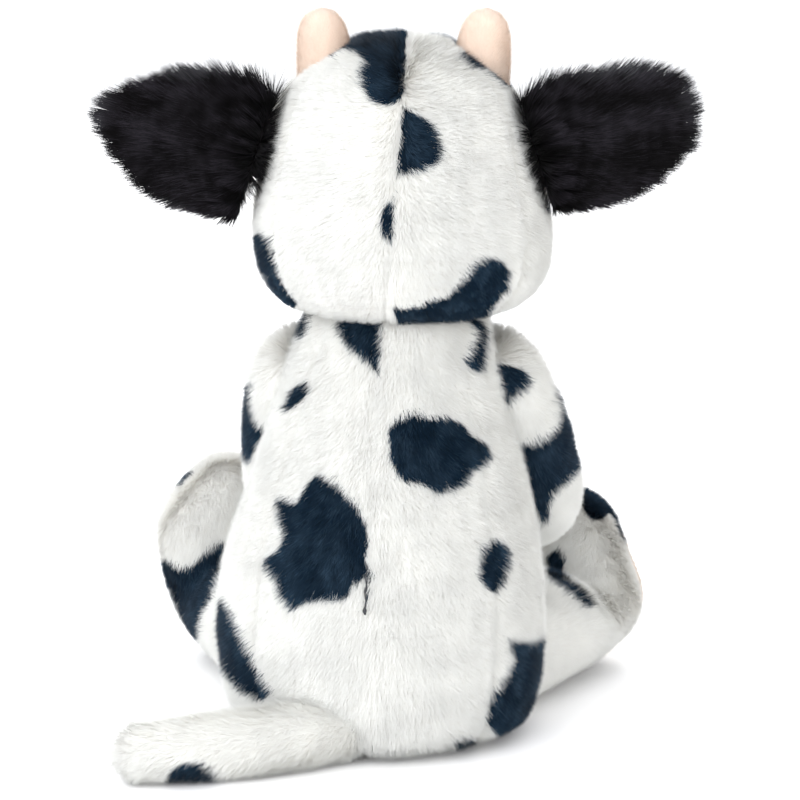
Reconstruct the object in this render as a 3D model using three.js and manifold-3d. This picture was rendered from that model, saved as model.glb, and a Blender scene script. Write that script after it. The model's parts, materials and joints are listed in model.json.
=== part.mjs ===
// A seated plush cow: pile fabric skins over fibre stuffing, a pellet bag in the seat, safety eyes on
// washers, and a head, ears, arms, legs and tail that are sewn on where they swing.
// Millimetres, +Z up. The cow faces -Y and its own left is +X. The origin is on the floor under the
// middle of the seat.
import * as THREE from "three";
import { mergeVertices } from "three/addons/utils/BufferGeometryUtils.js";
import Module from "manifold-3d";

const wasm = await Module();
wasm.setup();

// Fabric, gaps and the flat that the soft forms press on the floor
const PILE_SKIN = 6; // pile fabric, backing and fur together
const SUEDE_SKIN = 1.5; // short suede of the horns
const MUZZLE_SKIN = 2.5;
const GAP = 0.3; // between pieces that touch
const FLOOR_FLAT = 0.5;
const OVERRUN = 20; // how far a cutter runs past what it cuts

// Torso
const BODY_HEIGHT = 180;
const BODY_HALF_WIDTH = 69;
const BODY_HALF_DEPTH = 57;
const BODY_LEAN = 6.5; // sideways, at the neck, towards the cow's right
const NECK_OPENING_RADIUS = 18;
const BODY_RADIUS_SHARES = [0.5, 0.78, 0.92, 0.99, 1, 0.965, 0.89, 0.79, 0.7, 0.62, 0.52];
const BODY_LEVEL_SHARES = [0, 0.025, 0.09, 0.19, 0.33, 0.46, 0.57, 0.69, 0.79, 0.88, 1];

// Pellet bag in the seat
const PELLET_BAG_HALF_WIDTH = 27;
const PELLET_BAG_HALF_DEPTH = 19;
const PELLET_BAG_HEIGHT = 36;
const PELLET_BAG_BACK = 3; // its middle behind the middle of the seat

// Head
const HEAD_HEIGHT = 111.5;
const HEAD_HALF_WIDTH = 59.5;
const HEAD_HALF_DEPTH = 56;
const HEAD_FORWARD = 6; // head's middle in front of the neck
const HEAD_TURN_DEG = 5; // as it sits, turned to the cow's left
const HEAD_RADIUS_SHARES = [0.5, 0.72, 0.87, 0.96, 1, 0.99, 0.95, 0.885, 0.79, 0.63, 0.42, 0.2];
const HEAD_LEVEL_SHARES = [0, 0.045, 0.125, 0.22, 0.33, 0.45, 0.58, 0.71, 0.82, 0.905, 0.965, 0.995];

// Muzzle
const MUZZLE_HALF_WIDTH = 34;
const MUZZLE_HALF_HEIGHT = 23;
const MUZZLE_HALF_DEPTH = 26;
const MUZZLE_LIFT = 30; // its middle above the neck seam

// Safety eyes
const EYE_RADIUS = 6.5;
const EYE_DOME = 4; // height of the dome above its rim
const EYE_SHANK_RADIUS = 2;
const EYE_SHANK_LENGTH = 16;
const EYE_RISE = 9; // above the top of the muzzle
const EYE_SPREAD_DEG = 26; // each side of straight ahead
const WASHER_RADIUS = 7.5;
const WASHER_THICKNESS = 1.8;
const WASHER_BORE_CLEARANCE = 0.15;

// Horns
const HORN_RADIUS = 10.5;
const HORN_HEIGHT = 33;
const HORN_SPREAD = 30.5;
const HORN_DROP = 25.5; // base below the crown
const HORN_LEAN_DEG = 5;
const HORN_OFFSET = 3; // the pair sits this far to the cow's right
const HORN_RADIUS_SHARES = [1.02, 1.03, 1, 0.94, 0.84, 0.66, 0.4];
const HORN_LEVEL_SHARES = [0, 0.2, 0.4, 0.6, 0.78, 0.9, 0.97];

// Ears
const EAR_LENGTH = 53;
const EAR_HALF_HEIGHT = 29.5;
const EAR_HALF_THICKNESS = 7;
const EAR_DROP = 48.5; // middle of the ear's root below the crown
const EAR_ROOT_TILT_DEG = 12; // the root line leans in towards the crown
const EAR_SINK = 2.5; // how deep the root sits in the head at its middle
const EAR_BACK = 4; // root behind the head's middle
const EAR_EDGE_SHARE = 0.8; // of the root's height, the straight edge it turns on
const EAR_HEIGHT_SHARES = [0.86, 0.95, 1, 1, 0.95, 0.84, 0.66, 0.4];
const EAR_THICKNESS_SHARES = [1, 1, 0.97, 0.92, 0.85, 0.75, 0.62, 0.45];
const EAR_STATION_SHARES = [0, 0.15, 0.32, 0.5, 0.66, 0.8, 0.91, 0.98];

// Arms
const ARM_RADIUS = 18.5;
const ARM_REACH = 88; // shoulder to the middle of the hand
const SHOULDER_DROP = 31; // below the neck
const SHOULDER_AZIMUTH_DEG = 20; // round from the side towards the front
const SHOULDER_SINK = 2;
const ARM_FORWARD_DEG = { left: 40, right: 36 };
const ARM_OUT_DEG = { left: 6.5, right: 12.5 };
const UPPER_ARM_SHARES = { forward: 0.55, out: 2 }; // of those two angles
const FOREARM_SHARES = { forward: 1.6, out: -0.6 };
const ARM_RADIUS_SHARES = [0.95, 0.97, 0.96, 0.94, 0.96, 1.04, 1.06];

// Legs
const LEG_RADIUS = 26.5;
const LEG_REACH = 92; // hip to the middle of the foot
const HIP_AZIMUTH_DEG = 38;
const HIP_SINK = 19;
const LEG_SPLAY_DEG = { left: 28, right: 25 };
const LEG_RADIUS_SHARES = [0.95, 0.97, 0.98, 0.98, 0.95, 0.92, 0.9];
const FOOT_HALF_WIDTH = 28.5;
const FOOT_HALF_HEIGHT = 46;
const FOOT_HALF_LENGTH = 25;
const FOOT_LEAN_DEG = { left: 4, right: 22 }; // toes away from the body
const FOOT_ROLL_DEG = { left: 3, right: 16 }; // toes towards the cow's middle
const SOLE_INSET = 10; // how much of the foot's front the flat sole takes off
const SOLE_THICKNESS = 2.5;
const SOLE_RIM = 4; // fur showing round the sole

// Tail
const TAIL_RADIUS = 15;
const TAIL_REACH = 76;
const TAIL_AZIMUTH_DEG = 76; // of the root, round from the cow's left side to the back
const TAIL_SINK = 9;
const TAIL_SWEEP_DEG = 66; // from straight back towards the cow's left
const TAIL_TIP_SHARE = 0.86; // of its radius
const TAIL_BEND_DEG = 14; // the end curls this much further round
const TAIL_RADIUS_SHARES = [0.96, 0.99, 1, 0.99, 0.97, 0.92, TAIL_TIP_SHARE];

// How far the legs and the tail swing, which the torso is hollowed for
const LEG_SWING_DEG = { inwards: 8, outwards: 20 };
const TAIL_SWING_DEG = 45; // away from the body
const SWING_CLEARANCE = 0.7;

// Facets: the outside of a piece is finer than what it hides
const OUTER_SIDE_COUNT = 20;
const INNER_SIDE_COUNT = 12;
const LIMB_SIDE_COUNT = 10;
const LIMB_INNER_SIDE_COUNT = 6;
const MUZZLE_SIDE_COUNT = 14;
const SMALL_SIDE_COUNT = 8;
const TINY_SIDE_COUNT = 6;
const OUTER_STEP_COUNT = 12;
const INNER_STEP_COUNT = 7;
const BALL_RING_COUNT = 6;
const CURVE_SAMPLE_COUNT = 200;
const LIMB_STEP_COUNT = 5;
const THIGH_STEP_COUNT = 3;
const CAP_STEP_COUNT = 3;

const FINE = { sides: OUTER_SIDE_COUNT, steps: OUTER_STEP_COUNT };
const COARSE = { sides: INNER_SIDE_COUNT, steps: INNER_STEP_COUNT };

const rad = THREE.MathUtils.degToRad;
const vec = (x, y, z) => new THREE.Vector3(x, y, z);
const UP = vec(0, 0, 1);

// A closed solid from a geometry: only positions count, and slivers at the poles are dropped.
function solid(geometry) {
  const bare = new THREE.BufferGeometry();
  bare.setAttribute("position", geometry.getAttribute("position"));
  bare.setIndex(geometry.getIndex());
  const merged = mergeVertices(bare, 1e-4);
  const corners = merged.getIndex().array;
  const kept = [];
  for (let i = 0; i < corners.length; i += 3) {
    const [a, b, c] = [corners[i], corners[i + 1], corners[i + 2]];
    if (a !== b && b !== c && c !== a) kept.push(a, b, c);
  }
  const made = new wasm.Manifold(
    new wasm.Mesh({
      numProp: 3,
      vertProperties: new Float32Array(merged.getAttribute("position").array),
      triVerts: new Uint32Array(kept),
    }),
  );
  return made;
}

// A named mesh from a solid.
function piece(name, made, material) {
  const { vertProperties, triVerts } = made.getMesh();
  const geometry = new THREE.BufferGeometry();
  geometry.setAttribute("position", new THREE.BufferAttribute(vertProperties.slice(), 3));
  geometry.setIndex(new THREE.BufferAttribute(triVerts.slice(), 1));
  geometry.computeVertexNormals();
  const mesh = new THREE.Mesh(geometry, material);
  mesh.name = name;
  return mesh;
}

// A smooth open curve through hand-set shares, as points in millimetres.
function outline(radiusShares, levelShares, radius, height) {
  return radiusShares.map((share, i) => new THREE.Vector2(share * radius, levelShares[i] * height));
}

// Moves an outline's points along its own normal, outwards for a positive amount.
function grown(points, amount) {
  return points.map((point, i) => {
    const before = points[Math.max(i - 1, 0)];
    const after = points[Math.min(i + 1, points.length - 1)];
    const along = after.clone().sub(before).normalize();
    return new THREE.Vector2(point.x + along.y * amount, point.y - along.x * amount);
  });
}

// Where an outline crosses a height, or its nearer end.
function crossing(points, height) {
  for (let i = 0; i + 1 < points.length; i++) {
    const [a, b] = [points[i], points[i + 1]];
    if ((a.y - height) * (b.y - height) <= 0 && a.y !== b.y) {
      return new THREE.Vector2(a.x + ((b.x - a.x) * (height - a.y)) / (b.y - a.y), height);
    }
  }
  const nearer = height < points[0].y ? points[0] : points[points.length - 1];
  return new THREE.Vector2(nearer.x, height);
}

// A turned form, flat at its foot and its top, wider one way than the other.
function turned({ points, steps, sides, grow, depthShare, foot, top }) {
  const rim = grown(new THREE.SplineCurve(points).getSpacedPoints(steps), grow);
  const low = crossing(rim, foot - grow);
  const high = crossing(rim, top + grow);
  const inside = rim.filter((p) => p.y > low.y + GAP && p.y < high.y - GAP);
  const profile = [new THREE.Vector2(0, low.y), low, ...inside, high, new THREE.Vector2(0, high.y)];
  const lathe = new THREE.LatheGeometry(profile, sides);
  lathe.rotateX(Math.PI / 2);
  lathe.scale(1, depthShare, 1);
  return lathe;
}

// The torso's own form: a pear that leans a little sideways.
function leanAt(height) {
  return (-BODY_LEAN * height) / BODY_HEIGHT;
}

function bodyForm(grow, facets = FINE) {
  const geometry = turned({
    points: outline(BODY_RADIUS_SHARES, BODY_LEVEL_SHARES, BODY_HALF_WIDTH, BODY_HEIGHT),
    ...facets,
    grow,
    depthShare: BODY_HALF_DEPTH / BODY_HALF_WIDTH,
    foot: -FLOOR_FLAT,
    top: BODY_HEIGHT,
  });
  const position = geometry.getAttribute("position");
  for (let i = 0; i < position.count; i++) {
    position.setX(i, position.getX(i) + leanAt(position.getZ(i)));
  }
  return solid(geometry);
}

// Radius of the torso's outline at a height, before it is flattened front to back.
function bodyRadiusAt(height) {
  const curve = new THREE.SplineCurve(
    outline(BODY_RADIUS_SHARES, BODY_LEVEL_SHARES, BODY_HALF_WIDTH, BODY_HEIGHT),
  );
  const samples = curve.getPoints(CURVE_SAMPLE_COUNT);
  const above = samples.findIndex((p) => p.y >= height);
  return samples[Math.max(above, 0)].x;
}

// A point under the torso's surface, at a height and an angle round from the side to the front.
function underBody(height, azimuthDeg, sink) {
  const angle = rad(azimuthDeg);
  const width = bodyRadiusAt(height);
  const depth = (width * BODY_HALF_DEPTH) / BODY_HALF_WIDTH;
  const inwards = vec(Math.cos(angle) / width, -Math.sin(angle) / depth, 0).normalize();
  return vec(width * Math.cos(angle), -depth * Math.sin(angle), height).addScaledVector(
    inwards,
    -sink,
  );
}

// What lies inside a skin is coarser.
const sidesFor = (grow) => (grow < 0 ? LIMB_INNER_SIDE_COUNT : LIMB_SIDE_COUNT);

// A limb: rings across a spine from a ball at its root to a rounded end. Radii are shares of the limb's
// radius.
function limb({ spine, radius, shares, sides, grow, steps = LIMB_STEP_COUNT, across = UP }) {
  const length = spine.getLength();
  const taper = new THREE.SplineCurve(
    shares.map((share, i) => new THREE.Vector2(i / (shares.length - 1), share)),
  );
  const end = radius + grow;
  const stations = [];
  for (let i = 0; i < steps; i++) {
    stations.push({ at: (length * i) / steps, swell: 1 });
  }
  for (let i = CAP_STEP_COUNT; i >= 0; i--) {
    const turn = (Math.PI / 2) * (i / CAP_STEP_COUNT);
    stations.push({ at: length + end * Math.cos(turn), swell: Math.sin(turn) });
  }
  const rings = stations.map(({ at, swell }) => {
    const u = THREE.MathUtils.clamp(at / length, 0, 1);
    const tangent = spine.getTangentAt(u);
    const centre = spine.getPointAt(u).addScaledVector(tangent, at - u * length);
    const side = across.clone().cross(tangent).normalize();
    const over = tangent.clone().cross(side);
    const size = (radius * taper.getPoint(u).y + grow) * swell;
    return { centre, side: side.multiplyScalar(size), over: over.multiplyScalar(size) };
  });
  const rootBall = ball(spine.getPointAt(0), radius + grow, sides);
  return solid(lofted(rings, sides)).add(rootBall);
}

// Skins a row of rings, the first and last of which may be points.
function lofted(rings, sides) {
  const places = [];
  for (const { centre, side, over } of rings) {
    for (let j = 0; j < sides; j++) {
      const turn = (2 * Math.PI * j) / sides;
      const place = centre
        .clone()
        .addScaledVector(side, Math.cos(turn))
        .addScaledVector(over, Math.sin(turn));
      places.push(place.x, place.y, place.z);
    }
  }
  const faces = [];
  for (let i = 0; i + 1 < rings.length; i++) {
    for (let j = 0; j < sides; j++) {
      const next = (j + 1) % sides;
      const [a, b] = [i * sides + j, i * sides + next];
      const [c, d] = [a + sides, b + sides];
      faces.push(a, b, d, a, d, c);
    }
  }
  const last = (rings.length - 1) * sides;
  for (let j = 1; j + 1 < sides; j++) {
    faces.push(0, j + 1, j);
    faces.push(last, last + j, last + j + 1);
  }
  const geometry = new THREE.BufferGeometry();
  geometry.setAttribute("position", new THREE.Float32BufferAttribute(places, 3));
  geometry.setIndex(faces);
  return geometry;
}

function ball(centre, radius, sides) {
  const sphere = new THREE.SphereGeometry(radius, sides, BALL_RING_COUNT);
  sphere.rotateX(Math.PI / 2);
  sphere.translate(centre.x, centre.y, centre.z);
  return solid(sphere);
}

// A ball's seat: its flat facets stay outside the ball that turns in it.
function seat(centre, radius, sides) {
  const facet = Math.cos(Math.PI / sides) * Math.cos(Math.PI / (2 * BALL_RING_COUNT));
  return ball(centre, (radius + GAP) / facet, sides);
}

function ellipsoid(centre, sizes, sides) {
  const sphere = new THREE.SphereGeometry(1, sides, BALL_RING_COUNT);
  sphere.rotateX(Math.PI / 2);
  sphere.scale(sizes.x, sizes.y, sizes.z);
  sphere.translate(centre.x, centre.y, centre.z);
  return solid(sphere);
}

// A cylinder from one point to another.
function rod(from, to, radius, sides = SMALL_SIDE_COUNT) {
  const span = to.clone().sub(from);
  const cylinder = new THREE.CylinderGeometry(radius, radius, span.length(), sides);
  cylinder.applyQuaternion(
    new THREE.Quaternion().setFromUnitVectors(vec(0, 1, 0), span.clone().normalize()),
  );
  const middle = from.clone().add(to).multiplyScalar(0.5);
  cylinder.translate(middle.x, middle.y, middle.z);
  return solid(cylinder);
}

// Everything on the far side of a plane through a point, as a block.
function beyond(point, normal) {
  const reach = 4 * BODY_HEIGHT;
  const block = new THREE.BoxGeometry(reach, reach, reach);
  block.translate(0, 0, reach / 2);
  block.applyQuaternion(
    new THREE.Quaternion().setFromUnitVectors(UP, normal.clone().normalize()),
  );
  block.translate(point.x, point.y, point.z);
  return solid(block);
}

const belowFloor = beyond(vec(0, 0, 0), vec(0, 0, -1));
const onFloor = (made) => made.subtract(belowFloor);

function surface(color, roughness) {
  return new THREE.MeshStandardMaterial({ color, roughness, metalness: 0 });
}

const whitePile = surface(0xf4f3ef, 0.95);
const blackPile = surface(0x15141a, 0.95);
const peachSuede = surface(0xf3dcc8, 0.9);
const fibreFill = surface(0xf8f8f6, 1);
const calico = surface(0xe6dfd0, 0.95);
const glossBlack = surface(0x0a0a0c, 0.12);
const nylon = surface(0xd9d6cc, 0.5);

// Where the limbs are sewn on. Each is given for the cow's left and mirrored for its right.
const mirrored = (point, side) => vec(point.x * side, point.y, point.z);
const leaned = (point) => vec(point.x + leanAt(point.z), point.y, point.z);

const sides = { left: 1, right: -1 };
const shoulder = {};
const hip = {};
for (const [name, side] of Object.entries(sides)) {
  const atArm = underBody(BODY_HEIGHT - SHOULDER_DROP, SHOULDER_AZIMUTH_DEG, SHOULDER_SINK);
  shoulder[name] = leaned(mirrored(atArm, side));
  const atLeg = underBody(LEG_RADIUS - FLOOR_FLAT, HIP_AZIMUTH_DEG, HIP_SINK);
  hip[name] = leaned(mirrored(atLeg, side));
}
const tailRoot = leaned(underBody(TAIL_RADIUS - FLOOR_FLAT, -TAIL_AZIMUTH_DEG, TAIL_SINK));

// Legs: a thigh along the floor and an upturned foot with a flat sole.
function legDirection(name, swingDeg = 0) {
  const splay = rad(LEG_SPLAY_DEG[name] + swingDeg);
  return vec(sides[name] * Math.sin(splay), -Math.cos(splay), 0);
}

function thigh(name, grow) {
  const ahead = legDirection(name);
  const ankle = hip[name].clone().addScaledVector(ahead, LEG_REACH - FOOT_HALF_LENGTH / 2);
  return limb({
    spine: new THREE.LineCurve3(hip[name], ankle),
    radius: LEG_RADIUS,
    shares: LEG_RADIUS_SHARES,
    sides: sidesFor(grow),
    steps: THIGH_STEP_COUNT,
    grow,
  });
}

// The room that a limb takes as it swings about an upright axis: a close seat round its root, whose flats
// face the ball's corners, and one straight way for each direction.
function swingRoom(root, directions, radius, reach, grow) {
  const around = sidesFor(-grow);
  const facet = Math.cos(Math.PI / around);
  const close = new THREE.SphereGeometry(1, around, BALL_RING_COUNT);
  close.rotateX(Math.PI / 2);
  close.rotateZ(Math.PI / around);
  const wide = (radius + GAP + grow) / facet;
  close.scale(wide, wide, radius + GAP + grow);
  close.translate(root.x, root.y, root.z);
  const ways = directions.map((ahead) => {
    const end = root.clone().addScaledVector(ahead, reach);
    return rod(root, end, (radius + SWING_CLEARANCE + grow) / facet, around);
  });
  return [solid(close), ...ways];
}

function footFrame(name) {
  const ahead = legDirection(name);
  const lean = rad(FOOT_LEAN_DEG[name]);
  const heel = hip[name].clone().addScaledVector(ahead, LEG_REACH).setZ(FOOT_HALF_LENGTH - FLOOR_FLAT);
  const rise = UP.clone().multiplyScalar(Math.cos(lean)).addScaledVector(ahead, Math.sin(lean));
  const toSole = ahead.clone().multiplyScalar(Math.cos(lean)).addScaledVector(UP, -Math.sin(lean));
  const roll = sides[name] * rad(FOOT_ROLL_DEG[name]);
  rise.applyAxisAngle(ahead, roll);
  toSole.applyAxisAngle(ahead, roll);
  const middle = heel.clone().addScaledVector(rise, FOOT_HALF_HEIGHT - FOOT_HALF_LENGTH);
  return { middle, rise, toSole, across: rise.clone().cross(toSole) };
}

function footForm(name, grow) {
  const { middle, rise, toSole, across } = footFrame(name);
  const sphere = new THREE.SphereGeometry(1, sidesFor(grow), BALL_RING_COUNT);
  sphere.rotateX(Math.PI / 2);
  sphere.scale(FOOT_HALF_WIDTH + grow, FOOT_HALF_LENGTH + grow, FOOT_HALF_HEIGHT + grow);
  const turn = new THREE.Matrix4().makeBasis(across.clone().negate(), toSole, rise).setPosition(middle);
  sphere.applyMatrix4(turn);
  return solid(sphere);
}

function legForm(name, grow) {
  const { middle, toSole } = footFrame(name);
  const solePlane = middle.addScaledVector(toSole, FOOT_HALF_LENGTH - SOLE_INSET + grow);
  return thigh(name, grow).add(footForm(name, grow)).subtract(beyond(solePlane, toSole));
}

function soleForm(name) {
  const { middle, rise, toSole, across } = footFrame(name);
  const share = Math.sqrt(1 - ((FOOT_HALF_LENGTH - SOLE_INSET) / FOOT_HALF_LENGTH) ** 2);
  const half = new THREE.Vector2(
    FOOT_HALF_WIDTH * share - SOLE_RIM / 2,
    FOOT_HALF_HEIGHT * share - SOLE_RIM,
  );
  const oval = new THREE.Shape().absellipse(0, 0, half.x, half.y, 0, 2 * Math.PI);
  const disc = new THREE.ExtrudeGeometry(oval, {
    depth: SOLE_THICKNESS,
    bevelEnabled: false,
    curveSegments: LIMB_SIDE_COUNT,
  });
  const start = middle.clone().addScaledVector(toSole, FOOT_HALF_LENGTH - SOLE_INSET + GAP);
  const turn = new THREE.Matrix4().makeBasis(across, rise, toSole.clone());
  if (turn.determinant() < 0) turn.makeBasis(across.negate(), rise, toSole.clone());
  disc.applyMatrix4(turn.setPosition(start));
  return onFloor(solid(disc));
}

// Arms: from the shoulder down, forwards and outwards, bent gently at the elbow.
function armSpine(name) {
  const forward = rad(ARM_FORWARD_DEG[name]);
  const out = rad(ARM_OUT_DEG[name]);
  const aim = (f, o) => vec(sides[name] * Math.sin(o), -Math.sin(f), -Math.cos(f)).normalize();
  const start = shoulder[name];
  const turned = ({ forward: f, out: o }) => aim(forward * f, out * o);
  const elbow = start.clone().addScaledVector(turned(UPPER_ARM_SHARES), ARM_REACH / 2);
  const hand = elbow.clone().addScaledVector(turned(FOREARM_SHARES), ARM_REACH / 2);
  return new THREE.QuadraticBezierCurve3(start, elbow, hand);
}

function armForm(name, grow) {
  return limb({
    spine: armSpine(name),
    radius: ARM_RADIUS,
    shares: ARM_RADIUS_SHARES,
    sides: sidesFor(grow),
    grow,
    across: vec(1, 0, 0),
  });
}

// Tail: along the floor, from the back of the seat round to the cow's left.
const tailDirection = (deg) => vec(Math.sin(rad(deg)), Math.cos(rad(deg)), 0);

function tailSpine() {
  const bend = tailRoot
    .clone()
    .addScaledVector(tailDirection(TAIL_SWEEP_DEG - TAIL_BEND_DEG), TAIL_REACH / 2);
  const tip = bend
    .clone()
    .addScaledVector(tailDirection(TAIL_SWEEP_DEG + TAIL_BEND_DEG), TAIL_REACH / 2);
  tip.z = TAIL_RADIUS * TAIL_TIP_SHARE - FLOOR_FLAT;
  return new THREE.QuadraticBezierCurve3(tailRoot, bend, tip);
}

function tailForm(grow) {
  return limb({
    spine: tailSpine(),
    radius: TAIL_RADIUS,
    shares: TAIL_RADIUS_SHARES,
    sides: sidesFor(grow),
    grow,
  });
}

// The torso, hollowed where limbs seat in it and where they swing.
function seatsInBody(grow) {
  const { inwards, outwards } = LEG_SWING_DEG;
  const legStops = [-inwards, (outwards - inwards) / 2, outwards];
  const seats = Object.keys(sides).flatMap((name) => {
    const directions = legStops.map((stop) => legDirection(name, stop));
    return [
      seat(shoulder[name], ARM_RADIUS + grow, sidesFor(-grow)),
      ...swingRoom(hip[name], directions, LEG_RADIUS, LEG_REACH, grow),
    ];
  });
  const tailOut = [tailDirection(TAIL_SWEEP_DEG - TAIL_BEND_DEG - TAIL_SWING_DEG)];
  seats.push(...swingRoom(tailRoot, tailOut, TAIL_RADIUS, TAIL_REACH, grow));
  return wasm.Manifold.union(seats);
}

const neck = leaned(vec(0, 0, BODY_HEIGHT));
const bodySeats = seatsInBody(0);
const bodyOuter = onFloor(bodyForm(0)).subtract(bodySeats);
const bodyHollow = bodyForm(-PILE_SKIN, COARSE).subtract(seatsInBody(PILE_SKIN));
const neckHole = rod(
  neck.clone().addScaledVector(UP, -PILE_SKIN * 2),
  neck.clone().addScaledVector(UP, OVERRUN),
  NECK_OPENING_RADIUS,
  INNER_SIDE_COUNT,
);
const bodySkin = bodyOuter.subtract(bodyHollow).subtract(neckHole);

function pelletBagForm(grow) {
  const sizes = vec(
    PELLET_BAG_HALF_WIDTH + grow,
    PELLET_BAG_HALF_DEPTH + grow,
    PELLET_BAG_HEIGHT / 2 + grow,
  );
  const middle = vec(0, PELLET_BAG_BACK, PILE_SKIN + GAP + PELLET_BAG_HEIGHT / 2);
  return ellipsoid(middle, sizes, INNER_SIDE_COUNT);
}

const bodyFill = bodyForm(-PILE_SKIN - GAP, COARSE).subtract(seatsInBody(PILE_SKIN + GAP));
const neckPlug = rod(
  neck.clone().addScaledVector(UP, -PILE_SKIN * 2),
  neck.clone().addScaledVector(UP, -GAP / 2),
  NECK_OPENING_RADIUS - GAP,
  INNER_SIDE_COUNT,
);
const bodyStuffing = bodyFill.subtract(pelletBagForm(GAP)).add(neckPlug);
const pelletBag = pelletBagForm(0).intersect(bodyFill);

// A limb's skin and stuffing, open where the skin is sewn to the torso.
function limbPieces(form, root, ahead, keepClear, radius) {
  const rootPlane = root.clone().addScaledVector(ahead, -radius + PILE_SKIN / 2);
  const opened = beyond(rootPlane, ahead.clone().negate());
  const outer = onFloor(form(0)).subtract(keepClear).subtract(opened);
  const hollow = form(-PILE_SKIN).add(
    rod(root, root.clone().addScaledVector(ahead, -radius), radius / 2),
  );
  const fill = form(-PILE_SKIN - GAP)
    .add(rod(root, root.clone().addScaledVector(ahead, -radius), radius / 2 - GAP))
    .intersect(outer);
  return { skin: outer.subtract(hollow), stuffing: fill };
}

const torso = new THREE.Group();
torso.add(piece("body_skin", bodySkin, whitePile));
torso.add(piece("body_stuffing", bodyStuffing, fibreFill));
torso.add(piece("pellet_bag", pelletBag, calico));

const limbBalls = Object.keys(sides).flatMap((name) => [
  ball(shoulder[name], ARM_RADIUS, LIMB_SIDE_COUNT),
  ball(hip[name], LEG_RADIUS, LIMB_SIDE_COUNT),
]);
limbBalls.push(ball(tailRoot, TAIL_RADIUS, LIMB_SIDE_COUNT));
const clearOfBody = bodyForm(GAP).subtract(wasm.Manifold.union(limbBalls));
for (const name of Object.keys(sides)) {
  const arm = limbPieces(
    (grow) => armForm(name, grow),
    shoulder[name],
    vec(sides[name], 0, 0),
    clearOfBody,
    ARM_RADIUS,
  );
  torso.add(piece(`arm_${name}_skin`, arm.skin, whitePile));
  torso.add(piece(`arm_${name}_stuffing`, arm.stuffing, fibreFill));
  const leg = limbPieces(
    (grow) => legForm(name, grow),
    hip[name],
    legDirection(name),
    clearOfBody,
    LEG_RADIUS,
  );
  torso.add(piece(`leg_${name}_skin`, leg.skin, whitePile));
  torso.add(piece(`leg_${name}_stuffing`, leg.stuffing, fibreFill));
  torso.add(piece(`sole_${name}`, soleForm(name), peachSuede));
}
const tail = limbPieces(
  tailForm,
  tailRoot,
  tailSpine().getTangentAt(0),
  clearOfBody,
  TAIL_RADIUS,
);
torso.add(piece("tail_skin", tail.skin, whitePile));
torso.add(piece("tail_stuffing", tail.stuffing, fibreFill));

// Head, in its own frame: the origin is the middle of the neck seam, and the face looks along -Y.
const headMiddleY = -HEAD_FORWARD;

function headForm(grow, facets = FINE) {
  const geometry = turned({
    points: outline(HEAD_RADIUS_SHARES, HEAD_LEVEL_SHARES, HEAD_HALF_WIDTH, HEAD_HEIGHT),
    ...facets,
    grow,
    depthShare: HEAD_HALF_DEPTH / HEAD_HALF_WIDTH,
    foot: 0,
    top: HEAD_HEIGHT,
  });
  const position = geometry.getAttribute("position");
  for (let i = 0; i < position.count; i++) {
    const rise = Math.min(position.getZ(i) / (HEAD_HEIGHT / 3), 1);
    position.setY(i, position.getY(i) + headMiddleY * rise);
  }
  return solid(geometry);
}

function headRadiusAt(lift) {
  const curve = new THREE.SplineCurve(
    outline(HEAD_RADIUS_SHARES, HEAD_LEVEL_SHARES, HEAD_HALF_WIDTH, HEAD_HEIGHT),
  );
  return curve.getPoints(CURVE_SAMPLE_COUNT).find((p) => p.y >= lift).x;
}

// Ears: a flat leaf of two plies, whose root is a straight rounded edge that turns in a groove.
const earLift = HEAD_HEIGHT - EAR_DROP;

function earFrame(side) {
  const tilt = rad(EAR_ROOT_TILT_DEG);
  const root = vec(
    side * (headRadiusAt(earLift) + EAR_HALF_THICKNESS - EAR_SINK),
    headMiddleY + EAR_BACK,
    earLift,
  );
  const axis = vec(-side * Math.sin(tilt), 0, Math.cos(tilt));
  const out = vec(side * Math.cos(tilt), 0, Math.sin(tilt));
  return { root, axis, out };
}

function earForm(side, grow) {
  const { root, axis, out } = earFrame(side);
  const front = vec(0, -1, 0);
  const rings = EAR_STATION_SHARES.map((share, i) => ({
    centre: root.clone().addScaledVector(out, share * (EAR_LENGTH + grow)),
    side: axis.clone().multiplyScalar(EAR_HALF_HEIGHT * EAR_HEIGHT_SHARES[i] + grow),
    over: front.clone().multiplyScalar(side * (EAR_HALF_THICKNESS * EAR_THICKNESS_SHARES[i] + grow)),
  }));
  const half = EAR_HALF_HEIGHT * EAR_HEIGHT_SHARES[0] * EAR_EDGE_SHARE;
  const edge = rod(
    root.clone().addScaledVector(axis, -half - grow),
    root.clone().addScaledVector(axis, half + grow),
    EAR_HALF_THICKNESS + grow,
  );
  return solid(lofted(rings, LIMB_SIDE_COUNT + 2)).add(edge);
}

function earGroove(side, grow) {
  const { root, axis } = earFrame(side);
  const half = EAR_HALF_HEIGHT;
  const facet = Math.cos(Math.PI / SMALL_SIDE_COUNT);
  return rod(
    root.clone().addScaledVector(axis, -half - grow),
    root.clone().addScaledVector(axis, half + grow),
    (EAR_HALF_THICKNESS + GAP + grow) / facet,
  );
}

// Horns: blunt stuffed cones.
function hornForm(side, grow) {
  const points = outline(
    HORN_RADIUS_SHARES,
    HORN_LEVEL_SHARES,
    HORN_RADIUS,
    HORN_HEIGHT,
  ).map((p) => new THREE.Vector2(p.x + grow * (p.x / HORN_RADIUS), p.y + grow * (p.y / HORN_HEIGHT)));
  const profile = [new THREE.Vector2(0, 0), ...points, new THREE.Vector2(0, HORN_HEIGHT + grow)];
  const horn = new THREE.LatheGeometry(profile, SMALL_SIDE_COUNT);
  horn.rotateX(Math.PI / 2);
  horn.rotateY(side * rad(HORN_LEAN_DEG));
  horn.translate(side * HORN_SPREAD - HORN_OFFSET, headMiddleY, HEAD_HEIGHT - HORN_DROP);
  return solid(horn);
}

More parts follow.
